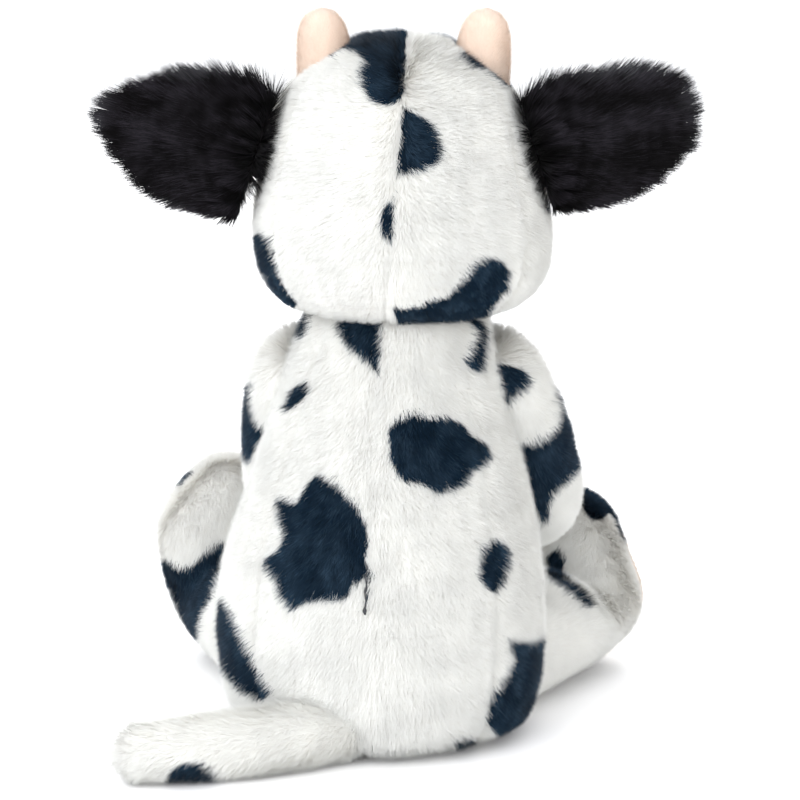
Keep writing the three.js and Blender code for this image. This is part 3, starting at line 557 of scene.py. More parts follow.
def head_form(inset):
    """The head: an oval turned form, moved forward over its lowest third, with full jowls."""
    shares = (HEAD_RADIUS_SHARES + (0.06,), HEAD_LEVEL_SHARES + (1.0,))
    top = HEAD_HEIGHT - inset
    grid = turned_form(*shares, HEAD_HALF_WIDTH, HEAD_HALF_DEPTH, -NECK_OVERLAP, top, inset, 48)
    grid[..., 1] -= HEAD_FORWARD * np.minimum(grid[..., 2] / (HEAD_HEIGHT / 3), 1)
    widen(grid, HEAD_JOWLS, 1, HEAD_FILL_SHARES)
    return from_head(grid)


def head_radius_at(lift):
    return HEAD_HALF_WIDTH * float(curve(HEAD_LEVEL_SHARES, HEAD_RADIUS_SHARES, lift / HEAD_HEIGHT))


def arm_aim(name, forward, outward):
    f, o = np.radians((forward, outward))
    return unit(np.array((SIDES[name] * np.sin(o), -np.sin(f), -np.cos(f))))


def arm_spine(name):
    """Down and out from the shoulder, then forwards and in to the hand."""
    forward, outward = ARM_FORWARD_DEG[name], ARM_OUTWARD_DEG[name]
    elbow = SHOULDERS[name] + ARM_HALF_LENGTH * arm_aim(name, 0.55 * forward, 2 * outward)
    hand = elbow + ARM_HALF_LENGTH * arm_aim(name, 1.6 * forward, -0.6 * outward)
    return bend(SHOULDERS[name], elbow, hand)


def arm_form(name, inset):
    return tube(arm_spine(name), ARM_RADIUS * evenly(ARM_RADIUS_SHARES, 24) - inset, beside=(1.0, 0, 0))


def leg_ahead(name):
    spread = np.radians(LEG_SPREAD_DEG[name])
    return np.array((SIDES[name] * np.sin(spread), -np.cos(spread), 0))


def slumped(points, name):
    """Stuffing sinks: what is high drops by the square of its height, and the outer side bulges."""
    high = np.clip(points[..., 2] / (2 * FOOT_HALF_HEIGHT), 0, 1)
    outer = SIDES[name] * np.cross(UP, leg_ahead(name))
    aside = eased((points - HIPS[name]) @ outer / FOOT_HALF_WIDTH)
    reach = eased((points - HIPS[name]) @ leg_ahead(name) / LEG_REACH)
    bulge = np.zeros(points.shape[:-1])
    for height, most in zip(FOOT_BULGE_HEIGHTS, FOOT_BULGES[name]):
        bulge += most * aside * reach * bell(points[..., 2] - height, FOOT_BULGE_REACH)
    return points - UP * (FOOT_SAGS[name] * high**2)[..., None] + outer * bulge[..., None]


def raised(points, name):
    """Back to the heights before the slump, by steps towards the height that sinks to this one."""
    height = points[..., 2]
    for _ in range(4):
        height = points[..., 2] + FOOT_SAGS[name] * np.clip(height / (2 * FOOT_HALF_HEIGHT), 0, 1) ** 2
    return np.concatenate((points[..., :2], height[..., None]), axis=-1)


def foot_frame(name):
    """The foot's middle, and its directions towards the toes, the sole and its own side."""
    ahead = leg_ahead(name)
    lean = np.radians(FOOT_LEAN_DEG[name])
    roll = SIDES[name] * FOOT_ROLL_DEG[name]
    to_toes = turned(UP * np.cos(lean) + ahead * np.sin(lean), ahead, roll)
    to_sole = turned(ahead * np.cos(lean) - UP * np.sin(lean), ahead, roll)
    heel = HIPS[name] + ahead * LEG_REACH
    heel[2] = HEEL_HEIGHT
    middle = heel + to_toes * (FOOT_HALF_HEIGHT - FOOT_HALF_LENGTH)
    return middle, to_toes, to_sole, np.cross(to_toes, to_sole)


def foot_form(name, inset):
    """An oval ball: half sizes across, towards the sole and towards the toes."""
    middle, to_toes, to_sole, across = foot_frame(name)
    a = np.linspace(-np.pi / 2, np.pi / 2, 24)[1:-1]
    middles = middle + to_toes * (FOOT_HALF_HEIGHT - inset) * np.sin(a)[:, None]
    wide, deep = ((half - inset) * np.cos(a) for half in (FOOT_HALF_WIDTH, FOOT_HALF_LENGTH))
    return loft(middles, to_sole, across, deep, wide)


def thigh_form(name, inset):
    middles = HIPS[name] + leg_ahead(name) * np.linspace(0, THIGH_LENGTH, 24)[:, None]
    return tube(middles, LEG_RADIUS * evenly(THIGH_RADIUS_SHARES, 24) - inset)


def sole_plane(name):
    """A point of the flat that the sole is sewn to, and the way it faces."""
    middle, _, to_sole, _ = foot_frame(name)
    return middle + to_sole * (FOOT_HALF_LENGTH - SOLE_INSET), to_sole


def tail_spine():
    first, last = (np.array((np.sin(a), np.cos(a), 0)) for a in np.radians(TAIL_AIMS_DEG))
    middle = TAIL_ROOT + TAIL_HALF_LENGTH * first
    end = middle + (TAIL_HALF_LENGTH + TAIL_END_PLUMP) * last
    end[2] = TAIL_RADIUS * TAIL_RADIUS_SHARES[-1] - 0.5
    return bend(TAIL_ROOT, middle, end)


def tail_form(inset):
    return tube(tail_spine(), TAIL_RADIUS * evenly(TAIL_RADIUS_SHARES, 24) - inset)


def ear_frame(side):
    """The ear's root, and its directions up along the root, out to the tip and back, in the world."""
    tilt = np.radians(EAR_TILT_DEG)
    root = np.array((side * (head_radius_at(EAR_LIFT) + EAR_OUT), EAR_BACK - HEAD_FORWARD, EAR_LIFT))
    axis = np.array((-side * np.sin(tilt), 0, np.cos(tilt)))
    out = np.array((side * np.cos(tilt), 0, np.sin(tilt)))
    axis, out, back = (turned(way, UP, HEAD_TURN_DEG) for way in (axis, out, (0, 1.0, 0)))
    return from_head(root), axis, out, back


def ear_form(name, length, inset, thickness, shift):
    """A flat leaf: ovals across the root-to-tip line that follow the ear's shares, round at the tip.

    Its middle line rises by the square of the way out, and its root edge curves back and leans in
    over the head.
    """
    root, axis, out, back = ear_frame(SIDES[name])
    stations = np.linspace(0, 1, 26)
    levels = EAR_STATION_SHARES + (1.0,)
    tall = EAR_PAD_HALF_HEIGHTS[name] * curve(levels, EAR_PAD_SHARES[name] + (0.04,), stations) - inset
    tall = np.maximum(tall, 0.8)
    thick = thickness * curve(levels, EAR_THICKNESS_SHARES + (0.1,), stations)
    reach = EAR_START_SHARE * length + stations * (1 - EAR_START_SHARE) * length
    rise = EAR_TIP_RISES[name] * stations**2
    set_back = shift + EAR_ROOT_BACK * np.clip(1 - stations / 0.35, 0, 1) ** 2
    middles = root + out * reach[:, None] + axis * rise[:, None] + back * set_back[:, None]
    leaf = loft(middles, axis, np.cross(out, axis), tall, thick, sides=40)
    lean_in = EAR_ROOT_SHEAR_SHARE * np.clip(1 - stations / 0.5, 0, 1)[:, None]
    return leaf - (lean_in * ((leaf - root) @ axis))[..., None] * out


def horn_form(side, grow):
    """A blunt cone that leans outwards from the crown."""
    levels = np.sin(np.linspace(0, 1, 22) * np.pi / 2)
    wide = (HORN_RADIUS + grow) * curve(HORN_LEVEL_SHARES + (1.0,), HORN_RADIUS_SHARES + (0.06,), levels)
    lean = np.radians(HORN_LEAN_DEG)
    up = np.array((side * np.sin(lean), 0, np.cos(lean)))
    across = np.array((np.cos(lean), 0, -side * np.sin(lean)))
    foot = np.array((side * HORN_SPREAD - HORN_OFFSET, -HEAD_FORWARD, HORN_FOOT_LIFT))
    middles = foot + up * (levels * (HORN_HEIGHT + grow))[:, None]
    return from_head(loft(middles, across, np.cross(up, across), wide, wide))


def eye_place(side):
    """Where the eye sits on the head's side, in the head's frame, and the way it faces."""
    angle = np.radians(EYE_SPREAD_DEG)
    width = head_radius_at(EYE_LIFT)
    depth = width * HEAD_HALF_DEPTH / HEAD_HALF_WIDTH
    out = unit(np.array((side * np.sin(angle) / width, -np.cos(angle) / depth, 0)))
    return np.array((side * width * np.sin(angle), -HEAD_FORWARD - depth * np.cos(angle), EYE_LIFT)), out


def from_eyes(points):
    """Distance in mm past the nearer eye's rim."""
    local = in_head(points)
    reach = [np.linalg.norm(local - eye_place(side)[0], axis=1) for side in SIDES.values()]
    return np.minimum(*reach) - EYE_RADIUS


def muzzle_middle():
    front = HEAD_FORWARD + head_radius_at(MUZZLE_LIFT) * HEAD_HALF_DEPTH / HEAD_HALF_WIDTH
    return np.array((0, -front, MUZZLE_LIFT))


def on_muzzle(turns, lifts, grow=0.0):
    """A point of the muzzle's oval by two angles in degrees: to the side from ahead, and up.

    A shallow upright crease runs down under the nose.
    """
    turns, lifts = np.broadcast_arrays(np.radians(turns), np.radians(lifts))
    spot = np.stack((np.cos(lifts) * np.sin(turns), -np.cos(lifts) * np.cos(turns), np.sin(lifts)), axis=-1)
    point = muzzle_middle() + spot * (MUZZLE_HALF_SIZES + grow)
    low = np.clip(0.35 - spot[..., 2], 0, 0.6)
    point[..., 1] += MUZZLE_CREASE * bell(spot[..., 0], 0.09) * np.clip(-spot[..., 1], 0, 1) * low
    return from_head(point)


def muzzle_form(inset):
    turns = np.linspace(0, 360, 72, endpoint=False)
    lifts = np.linspace(-88, 88, 40)
    return on_muzzle(turns[None, :], lifts[:, None], -inset)


def sole_form(name):
    """A flat oval pad on the sole plane, rounded over at its edge."""
    place, facing = sole_plane(name)
    to_toes = foot_frame(name)[1]
    cut = np.sqrt(1 - ((FOOT_HALF_LENGTH - SOLE_INSET) / FOOT_HALF_LENGTH) ** 2)
    a = np.linspace(0, np.pi / 2, 9)[:-1]
    inward = np.linspace(1, 0.04, 14)
    shares = np.concatenate(((0.97,), 0.97 + 0.03 * np.sin(a), inward))
    edge = (SOLE_EDGE_SHARE * SOLE_THICKNESS + SOLE_TUCK) * (1 - np.cos(a)) - SOLE_TUCK
    crown = SOLE_THICKNESS * (SOLE_EDGE_SHARE + (1 - SOLE_EDGE_SHARE) * (1 - inward**2))
    middles = place + facing * np.concatenate(((-SOLE_TUCK,), edge, crown))[:, None]
    half_width = (FOOT_HALF_WIDTH * cut - SOLE_RIM / 2) * shares
    half_height = (FOOT_HALF_HEIGHT * cut - SOLE_RIM) * shares
    aside = np.cross(to_toes, facing)
    return slumped(loft(middles, aside, np.cross(facing, aside), half_width, half_height), name)


def eye_form(side):
    """A safety eye turned round its shank: the shank, a flat back, a thin edge and a low dome."""
    place, out = eye_place(side)
    a = np.linspace(0, np.pi / 2, 14)[:-1]
    shank = (EYE_SHANK_RADIUS, EYE_SHANK_RADIUS, EYE_RADIUS)
    radii = np.concatenate((shank, EYE_RADIUS * np.cos(a), (0.4,)))
    dome = EYE_EDGE + (EYE_DOME - EYE_EDGE) * np.sin(a)
    lifts = np.concatenate(((-EYE_SHANK_LENGTH, 0.2, 0.2), dome, (EYE_DOME,)))
    across = np.cross(UP, out)
    grid = loft(place + out * lifts[:, None], across, np.cross(out, across), radii, radii)
    return from_head(grid)


# Seams, as distances in mm
def side_seam(across, behind, seam_degrees, radius):
    """From the seams up both sides: the turn from straight behind, less the seam's, times a radius."""
    return (np.arctan2(np.abs(across), behind) - np.radians(seam_degrees)) * radius


def torso_side_seam(points):
    across = (points[:, 0] - BODY_LEAN * points[:, 2] / BODY_HEIGHT) / BODY_HALF_WIDTH
    return side_seam(across, points[:, 1] / BODY_HALF_DEPTH, BODY_SIDE_SEAM_DEG, BODY_HALF_DEPTH)


def head_side_seam(points):
    local = in_head(points)
    across, behind = local[:, 0] / HEAD_HALF_WIDTH, (local[:, 1] + HEAD_FORWARD) / HEAD_HALF_DEPTH
    return side_seam(across, behind, HEAD_SIDE_SEAM_DEG, HEAD_HALF_DEPTH)


def torso_seam(points):
    """To the cow's left of the body's centre seam."""
    return points[:, 0] - BODY_SEAM_FOOT - BODY_SEAM_LEAN * points[:, 2]


def head_seam(points):
    """To the cow's left of the head's centre seam."""
    local = in_head(points)
    return local[:, 0] - HEAD_SEAM_FOOT - HEAD_SEAM_LEAN * local[:, 2]


def at_closed_gap(points):
    return (points[:, 2] > CLOSED_GAP_FOOT) & (points[:, 2] < CLOSED_GAP_TOP) & (points[:, 1] > 0)


# Spots: each function says which points are printed dark
def outlined(spots, points, normals):
    """Whether each point shows inside an outline, on the side of its form that faces the camera.

    By the even-odd rule a point is inside where an odd number of edges pass to its right.
    """
    across, down = photo_pixels(points)
    facing = along(normals, unit(CAMERA_PLACE - points)) > -0.6
    found = np.zeros(len(points), bool)
    for outline in spots.values():
        here = np.array(outline, float)
        there = np.roll(here, -1, axis=0)
        passes = (here[:, 1] > down[:, None]) != (there[:, 1] > down[:, None])
        fall = there[:, 1] - here[:, 1]
        slope = (there[:, 0] - here[:, 0]) / np.where(fall == 0, 1, fall)
        reach = here[:, 0] + (down[:, None] - here[:, 1]) * slope
        found |= (passes & (across[:, None] < reach)).sum(axis=1) % 2 == 1
    return found & facing


def made_up(spots, points, normals):
    """Whether each point is in one of the unseen side's spots: a ball with a ragged radius."""
    away = along(normals, unit(CAMERA_PLACE - points)) < 0.25
    ragged = 1 + 0.34 * noise(points, 13, 5.0) + 0.14 * noise(points, 5, 6.0)
    found = np.zeros(len(points), bool)
    for middle, radius in spots:
        found |= np.linalg.norm(points - middle, axis=1) < radius * ragged
    return found & away


def head_spots(points, normals, seam):
    left = outlined(HEAD_SPOTS["left"], points, normals) & (seam > 0)
    right = outlined(HEAD_SPOTS["right"], points, normals) & (seam <= 0)
    return left | right | made_up(HEAD_SPOTS_AHEAD, points, normals)


def body_spots(points, normals, seam):
    """The prints, and pile that the hand-sewn stretch has drawn in from the spot beside it."""
    left = outlined(BODY_SPOTS["left"], points, normals) & (seam > -1)
    right = outlined(BODY_SPOTS["right"], points, normals)
    drawn_in = at_closed_gap(points) & (np.abs(seam) < CLOSED_GAP_HALF_WIDTH)
    return left | right | drawn_in | made_up(BODY_SPOTS_AHEAD, points, normals)


def limb_spots(outlines, ahead=()):
    def spots(points, normals, seam):
        return outlined(outlines, points, normals) | made_up(ahead, points, normals)

    return spots


def plain(points, normals, seam):
    return np.zeros(len(points), bool)


# Swelling
def apply_modifiers(piece):
    graph = bpy.context.evaluated_depsgraph_get()
    mesh = bpy.data.meshes.new_from_object(piece.evaluated_get(graph))
    old = piece.data
    piece.modifiers.clear()
    piece.data = mesh
    bpy.data.meshes.remove(old)
    mesh.name = piece.name


def values_of(piece, what):
    """A vector of each vertex: its place "co" or its "normal"."""
    flat = np.empty(len(piece.data.vertices) * 3, np.float32)
    piece.data.vertices.foreach_get(what, flat)
    return flat.reshape(-1, 3).astype(float)


def points_of(piece):
    return values_of(piece, "co") / MM


def normals_of(piece):
    return values_of(piece, "normal")


def set_points(piece, points):
    piece.data.vertices.foreach_set("co", (points * MM).astype(np.float32).ravel())
    piece.data.update()


def hang_cloth(piece, held):
    """Cloth under pressure from within. held is 1 where a seam or the floor keeps a point still."""
    group = piece.vertex_groups.new(name="held")
    for weight in (0.35, 0.7, 1.0):
        group.add(np.flatnonzero(held > weight - 0.2).tolist(), weight, "REPLACE")
    cloth = piece.modifiers.new("swell", "CLOTH")
    settings = cloth.settings
    settings.quality = 6
    settings.mass = 0.12
    settings.tension_stiffness = 18
    settings.compression_stiffness = 18
    settings.bending_stiffness = 2.5
    settings.use_pressure = True
    settings.uniform_pressure_force = 9
    settings.vertex_group_mass = "held"
    settings.effector_weights.gravity = 0
    cloth.collision_settings.use_collision = False


def swell(pieces):
    """Blows up each skin by Cloth, all in the same frames, and caps how far any point has moved."""
    before = {}
    for piece, held in pieces:
        before[piece.name] = points_of(piece)
        hang_cloth(piece, held(before[piece.name]))
    for number in range(1, SWELL_FRAMES + 1):
        bpy.context.scene.frame_set(number)
    for piece, _ in pieces:
        apply_modifiers(piece)
    bpy.context.scene.frame_set(1)
    for piece, held in pieces:
        start = before[piece.name]
        moved = points_of(piece) - start
        length = np.linalg.norm(moved, axis=1, keepdims=True)
        moved = moved * np.minimum(1, SKIN_SWELL / np.maximum(length, 1e-6))
        set_points(piece, start + moved)
        modifier = piece.modifiers.new("finer", "SUBSURF")
        modifier.levels = modifier.render_levels = 1
        apply_modifiers(piece)


def held_near(*distances):
    """1 where a point lies on one of the seams or flats given by distance functions, 0 beyond 6 mm."""

    def held(points):
        nearest = np.min([np.abs(distance(points)) for distance in distances], axis=0)
        return np.clip(1.4 - nearest / 4, 0, 1)

    return held


def behind_only(seam, local):
    """A seam's distance behind, and far away ahead."""
    return lambda points: np.where(local(points)[:, 1] > 0, seam(points), FAR)


def around(place, radius):
    return lambda points: np.linalg.norm(points - place, axis=1) - radius


def floor_distance(points):
    return points[:, 2] - SKIN_INSET


def neck_band(points):
    return np.where(points[:, 2] > 150, BODY_HEIGHT - points[:, 2], FAR)


def beyond_sole(name):
    place, facing = sole_plane(name)
    return lambda points: (raised(points, name) - place) @ facing + SKIN_INSET


def above_floor(points, floor=SKIN_FLOOR):
    points = points.copy()
    points[:, 2] = np.maximum(points[:, 2], floor)
    return points


def crease(skin, seam, deepest, inside):
    """Draws the skin in along a seam: a groove as deep as a bell curve of the distance to it."""
    points, normals = points_of(skin), normals_of(skin)
    depth = deepest * bell(seam(points), SEAM_HALF_WIDTH) * inside(points)
    set_points(skin, points - normals * depth[:, None])


def behind_body(points):
    return np.clip(points[:, 1] / 15, 0, 1)


def behind_head(points):
    return np.clip(in_head(points)[:, 1] / 15 + 1, 0, 1)


# Pile
def roots_on(piece, per_mm2, seed):
    """Random places over a mesh, by its triangles' areas: points, normals and the generator."""
    mesh = piece.data
    mesh.calc_loop_triangles()
    flat = np.empty(len(mesh.loop_triangles) * 3, np.int32)
    mesh.loop_triangles.foreach_get("vertices", flat)
    triangles = flat.reshape(-1, 3)
    points, normals = points_of(piece), normals_of(piece)
    a, b, c = (points[triangles[:, k]] for k in range(3))
    total = np.cumsum(np.linalg.norm(np.cross(b - a, c - a), axis=1) / 2)
    generator = np.random.default_rng(seed)
    count = int(total[-1] * per_mm2)
    picks = np.searchsorted(total, (np.arange(count) + generator.random(count)) / count * total[-1])
    chosen = triangles[np.minimum(picks, len(total) - 1)]
    u, v = np.sqrt(generator.random(count))[:, None], generator.random(count)[:, None]
    weights = np.concatenate((1 - u, u * (1 - v), u * v), axis=1)[..., None]
    roots = (points[chosen] * weights).sum(axis=1)
    return roots, unit((normals[chosen] * weights).sum(axis=1)), generator


def tuft_pull(points, normals, size):
    """From each point along the surface to the middle of its tuft, a cell of a wavy, uneven lattice."""
    wavy = points + 2.2 * np.stack([noise(points, 11, salt) for salt in (1.0, 2.0, 3.0)], axis=1)
    cells = np.floor(wavy / size)
    jitter = np.stack([lattice(cells, salt) for salt in (7.0, 8.0, 9.0)], axis=1) - 0.5
    pull = (cells + 0.5 + 0.6 * jitter) * size - wavy
    return pull - normals * along(pull, normals)[:, None]


def grow_pile(
    skin,
    body,
    slot,
    material,
    nap,
    spots,
    sizes,
    seed,
    keep=None,
    seam=None,
    parting=0,
    trim=None,
    stand=None,
    lean=PILE_LEAN_DEG,
    wild=NAP_SPREAD_DEG,
    gather=GATHER_SHARE,
    soft=SOFTNESS_SHARE,
    lock=HANGING_LOCK,
):
    """Blades of pile on a skin, as pieces of at most MOST_BLADES.

    A blade is a narrow triangle: a pair of points at its root and one at its tip. It leans over from
    the fabric's normal towards the nap, and its tip is drawn towards the middle of its tuft.
    keep says which roots to keep. seam gives distances to a seam, along which the pile is shorter by
    the share parting. trim is a share of the length by place, and stand the share by which blades
    stand up there. lean is in degrees from the normal, and wild the spread of the nap in degrees.
    gather is the share of the way that a tip goes to its tuft. soft is the softness of its shading,
    and lock the shape of strands of one tone.
    """
    length, width, per_mm2 = sizes
    roots, normals, generator = roots_on(skin, per_mm2, seed)
    if keep:
        kept = keep(roots, normals)
        roots, normals = roots[kept], normals[kept]
    count = len(roots)
    to_seam = seam(roots) if seam else np.full(count, FAR)
    flow = unit(nap(roots, normals, to_seam))
    flow = flow - normals * along(flow, normals)[:, None]
    lying = np.clip(1.2 * np.linalg.norm(flow, axis=1), 0.3, 1)
    flow = unit(flow)
    swirl = 0.26 * noise(roots, 19, 21.0) + 0.2 * noise(roots, 8, 22.0)
    swirl = swirl + np.radians(wild) * generator.standard_normal(count)
    flow = flow * np.cos(swirl)[:, None] + np.cross(flow, normals) * np.sin(swirl)[:, None]
    aside = np.cross(flow, normals)
    lean = lean * lying + 6 * generator.standard_normal(count) + 5 * noise(roots, 7, 23.0)
    if stand:
        lean = lean * (1 - stand(roots))
    lean = np.radians(np.clip(lean, *LEAN_LIMITS_DEG))[:, None]
    long = length * (0.86 + 0.2 * generator.random(count)) * (1 + 0.05 * noise(roots, 10, 24.0))
    long = long * (1 - parting * bell(to_seam, SEAM_PARTING_WIDTH))
    if trim:
        long = long * trim(roots)
    reach = long[:, None] * (normals * np.cos(lean) + flow * np.sin(lean))
    tips = roots + reach + tuft_pull(roots, normals, TUFT) * gather
    roll = np.radians(ROLL_SPREAD_DEG) * generator.standard_normal(count)[:, None]
    beside = aside * np.cos(roll) + normals * np.sin(roll)
    half = (width / 2 * (0.8 + 0.4 * generator.random(count)))[:, None] * beside
    blades = np.stack((roots - half, roots + half, tips), axis=1)
    blades[..., 2] = np.maximum(blades[..., 2], FLOOR_GAP)
    shading = unit(soft * normals + (1 - soft) * unit(np.cross(beside, reach)))
    blur = 0.35 * generator.standard_normal((count, 3)) + (0.6 * noise(roots, 4, 25.0))[:, None]
    printed_at = roots + (0.5 + 0.4 * generator.random(count))[:, None] * (tips - roots)
    dyed = spots(printed_at + blur, normals, to_seam).astype(float)
    strand = noise(roots * lock, LOCK_WIDTH, 27.0)
    tone = 0.5 + 0.14 * generator.standard_normal(count) + 0.16 * noise(roots, 8, 26.0) + 0.34 * strand
    tone = np.clip(tone, 0, 1)
    parts = int(np.ceil(count / MOST_BLADES))
    middle = roots.mean(axis=0)
    order = np.argsort(np.arctan2(roots[:, 1] - middle[1], roots[:, 0] - middle[0]))
    for part, chosen in enumerate(np.array_split(order, parts)):
        chosen = chosen[np.lexsort((roots[chosen, 2], np.floor(roots[chosen, 0] / 6), dyed[chosen]))]
        name = f"{skin.name}_pile_{part + 1}" if parts > 1 else f"{skin.name}_pile"
        blade_piece(name, blades[chosen], shading[chosen], dyed[chosen], tone[chosen], body, material)


def blade_piece(name, blades, shading, dyed, tone, body, material):
    """One mesh of blades, each in its own small cell of the map. shading is how each takes light."""
    count = len(blades)
    made = new_object(name, blades.reshape(-1, 3), np.arange(3 * count), np.full(count, 3))
    mesh = made.data
    across = int(np.ceil(np.sqrt(count)))
    cell = np.stack((np.arange(count) % across, np.arange(count) // across), axis=-1)
    places = np.array(((0.06, 0.06), (0.94, 0.06), (0.5, 0.96)))
    flat = ((cell[:, None] + places) / across).astype(np.float32).ravel()
    mesh.uv_layers.new(name="OFBake").data.foreach_set("uv", flat)
    put_values(mesh, np.tile((0.0, 0.0, 1.0), count), np.repeat(dyed, 3), np.repeat(tone, 3))
    facing = mesh.attributes.new("custom_normal", "FLOAT_VECTOR", "POINT")
    facing.data.foreach_set("vector", np.repeat(shading, 3, axis=0).astype(np.float32).ravel())
    mesh.materials.append(material)
    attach(made, body)


def put_values(mesh, shade, dyed, tone):
    """What the pile's materials read: 0 at a root to 1 at a tip for painted shade, dyed or not, and tone.
    """
    for name, value in (("shade", shade), ("dyed", dyed), ("tone", tone)):
        mesh.attributes.new(name, "FLOAT", "POINT").data.foreach_set("value", value.astype(np.float32))


def paint_skin(skin, material, spots, seam=None):
    """The fabric under the pile takes the pile's own colours, with the painted shade of the roots."""
    skin.data.materials.append(material)
    points, normals = points_of(skin), normals_of(skin)
    count = len(points)
    to_seam = seam(points) if seam else np.full(count, FAR)
    dyed = spots(points + 2.5 * normals, normals, to_seam).astype(float)
    put_values(skin.data, np.full(count, 0.3), dyed, np.full(count, 0.5))


# Materials
def linear(hex_colour):
    """An sRGB hex colour as linear RGBA."""
    srgb = np.array([int(hex_colour[i : i + 2], 16) for i in (1, 3, 5)]) / 255
    value = np.where(srgb <= 0.04045, srgb / 12.92, ((srgb + 0.055) / 1.055) ** 2.4)
    return (*value.tolist(), 1.0)


def add(tree, kind, inputs=(), **settings):
    """Adds a node. inputs maps a socket's name or number to a value or to another node's output."""
    made = tree.nodes.new("ShaderNode" + kind)
    for name, value in settings.items():
        setattr(made, name, value)
    for socket, value in dict(inputs).items():
        if isinstance(value, bpy.types.NodeSocket):
            tree.links.new(value, made.inputs[socket])
        else:
            made.inputs[socket].default_value = value
    return made


def blended(tree, share, one, other):
    """The colour between one and other by a share."""
    return add(tree, "Mix", {0: share, 6: one, 7: other}, data_type="RGBA").outputs[2]


def scaled(tree, value, low, high, from_low=0.0, from_high=1.0):
    """A value's range brought to another."""
    return add(tree, "MapRange", {0: value, 1: from_low, 2: from_high, 3: low, 4: high}).outputs[0]


def both(tree, one, other, operation, clamped=False):
    """Two values added or multiplied."""
    return add(tree, "Math", {0: one, 1: other}, operation=operation, use_clamp=clamped).outputs[0]


def new_material(name, **even):
    """A material with its surface shader and its Object coordinates. even sets sockets all over."""
    material = bpy.data.materials.new(name)
    material.use_nodes = True
    tree = material.node_tree
    surface = tree.nodes["Principled BSDF"]
    for socket, value in even.items():
        surface.inputs[socket.replace("_", " ")].default_value = value
    return material, tree, surface, add(tree, "TexCoord").outputs["Object"]


def patterned(tree, surface, pattern, dark, light, rough, smooth, relief):
    """A pattern colours the surface, changes its roughness and raises it by up to 0.2 mm."""
    tree.links.new(blended(tree, pattern, linear(dark), linear(light)), surface.inputs["Base Color"])
    tree.links.new(scaled(tree, pattern, rough, smooth), surface.inputs["Roughness"])
    bump = add(tree, "Bump", {"Height": pattern, "Strength": relief, "Distance": 0.0002})
    tree.links.new(bump.outputs[0], surface.inputs["Normal"])


def pile_material(name, natural, dyed, glow, sheen, shine):
    """Pile: darker at its roots than at its tips, a painted shade, and each blade in its own tone,
    natural or dyed.

    natural and dyed are colours at the tips and at the roots, and dyed has a third, a painted sheen.
    It is laid on in noise patches about 12 mm across and strand by strand, growing towards the tips.
    """
    uniform = {"Sheen_Weight": sheen, "Sheen_Roughness": 0.5, "Specular_IOR_Level": shine}
    material, tree, surface, place = new_material(name, **uniform)
    shade, is_dyed, tone = (
        add(tree, "Attribute", attribute_name=value).outputs["Fac"] for value in ("shade", "dyed", "tone")
    )
    # Painted shade: each colour goes darker from the tip down to the root.
    undyed = blended(tree, shade, linear(natural[1]), linear(natural[0]))
    printed = blended(tree, shade, linear(dyed[1]), linear(dyed[0]))
    # Painted sheen: the dyed colour turns to its third in noise patches and strand by strand, most at the
    # tips.
    patches = add(tree, "TexNoise", {"Vector": place, "Scale": 80.0, "Detail": 3.0}).outputs["Fac"]
    patchy = scaled(tree, patches, 0.0, 0.35, 0.46, 0.68)
    strands = scaled(tree, tone, 0.0, 0.9, 0.5, 0.95)
    painted_sheen = both(tree, both(tree, patchy, strands, "ADD", True), shade, "MULTIPLY")
    printed = blended(tree, painted_sheen, printed, linear(dyed[2]))
    colour = blended(tree, is_dyed, undyed, printed)
    cloudy = add(tree, "TexNoise", {"Vector": place, "Scale": 60.0, "Detail": 2.0}).outputs["Fac"]
    cloudy = scaled(tree, cloudy, 0.94, 1.03, 0.3, 0.7)
    depth = both(tree, cloudy, scaled(tree, tone, 0.95, 1.03), "MULTIPLY")
    tinted = add(tree, "VectorMath", {0: colour, "Scale": depth}, operation="SCALE").outputs[0]
    tree.links.new(tinted, surface.inputs["Base Color"])
    tree.links.new(scaled(tree, tone, 0.55, 0.8), surface.inputs["Roughness"])
    through = add(tree, "BsdfTranslucent", {"Color": tinted}).outputs[0]
    mixed = add(tree, "MixShader", {0: glow, 1: surface.outputs[0], 2: through}).outputs[0]
    tree.links.new(mixed, tree.nodes["Material Output"].inputs["Surface"])
    return material


# Knitted polyester pile, sheared at 8 mm and printed: soft, bright and matt, with navy-black spots.
# A bluish sheen is painted onto the spots, and painted shade darkens the roots.
white = ("#f4f5f3", "#efede8")
navy = ("#07283e", "#030d17", "#445c71")
printed_pile = pile_material("sheared_polyester_pile", white, navy, 0.5, 0.1, 0.12)
# Long polyester pile, dyed through: near black, with a warm grey sheen painted on in patches and
# strand by strand. Grey is painted into its thin fringes for the light through them, and painted
# shade darkens the roots.
grey = ("#85868c", "#1b191b")
black = ("#040304", "#010101", "#38353c")
shaggy_pile = pile_material("shaggy_polyester_pile", grey, black, 0.2, 0.03, 0.1)
# Warp-knitted velour, brushed one way: smooth and peach with a soft sheen, and painted shade darkens the
# roots of its nap
peach = ("#f7ebdf", "#f3e3d5")
velour = pile_material("brushed_velour", peach, (*peach, peach[0]), 0.4, 0.2, 0.2)


def eye_material():
    """Polished moulded acrylic: deep black with sharp lights, and flow marks of 2 mm that blur them."""
    material, tree, surface, place = new_material(
        "polished_acrylic", Specular_IOR_Level=0.3, Coat_Weight=0.1
    )
    marks = add(tree, "TexNoise", {"Vector": place, "Scale": 500.0, "Detail": 2.0}).outputs["Fac"]
    patterned(tree, surface, marks, "#08070a", "#141014", 0.06, 0.13, 0.04)
    return material


def thread_material(name, dark, light):
    """Twisted polyester thread: a silky shine, striped across by its twist of 0.5 mm."""
    material, tree, surface, place = new_material(name, Sheen_Weight=0.3)
    waves = {"Vector": place, "Scale": 300.0, "Distortion": 1.0}
    twist = add(tree, "TexWave", waves, bands_direction="DIAGONAL").outputs["Fac"]
    patterned(tree, surface, twist, dark, light, 0.35, 0.55, 0.4)
    return material


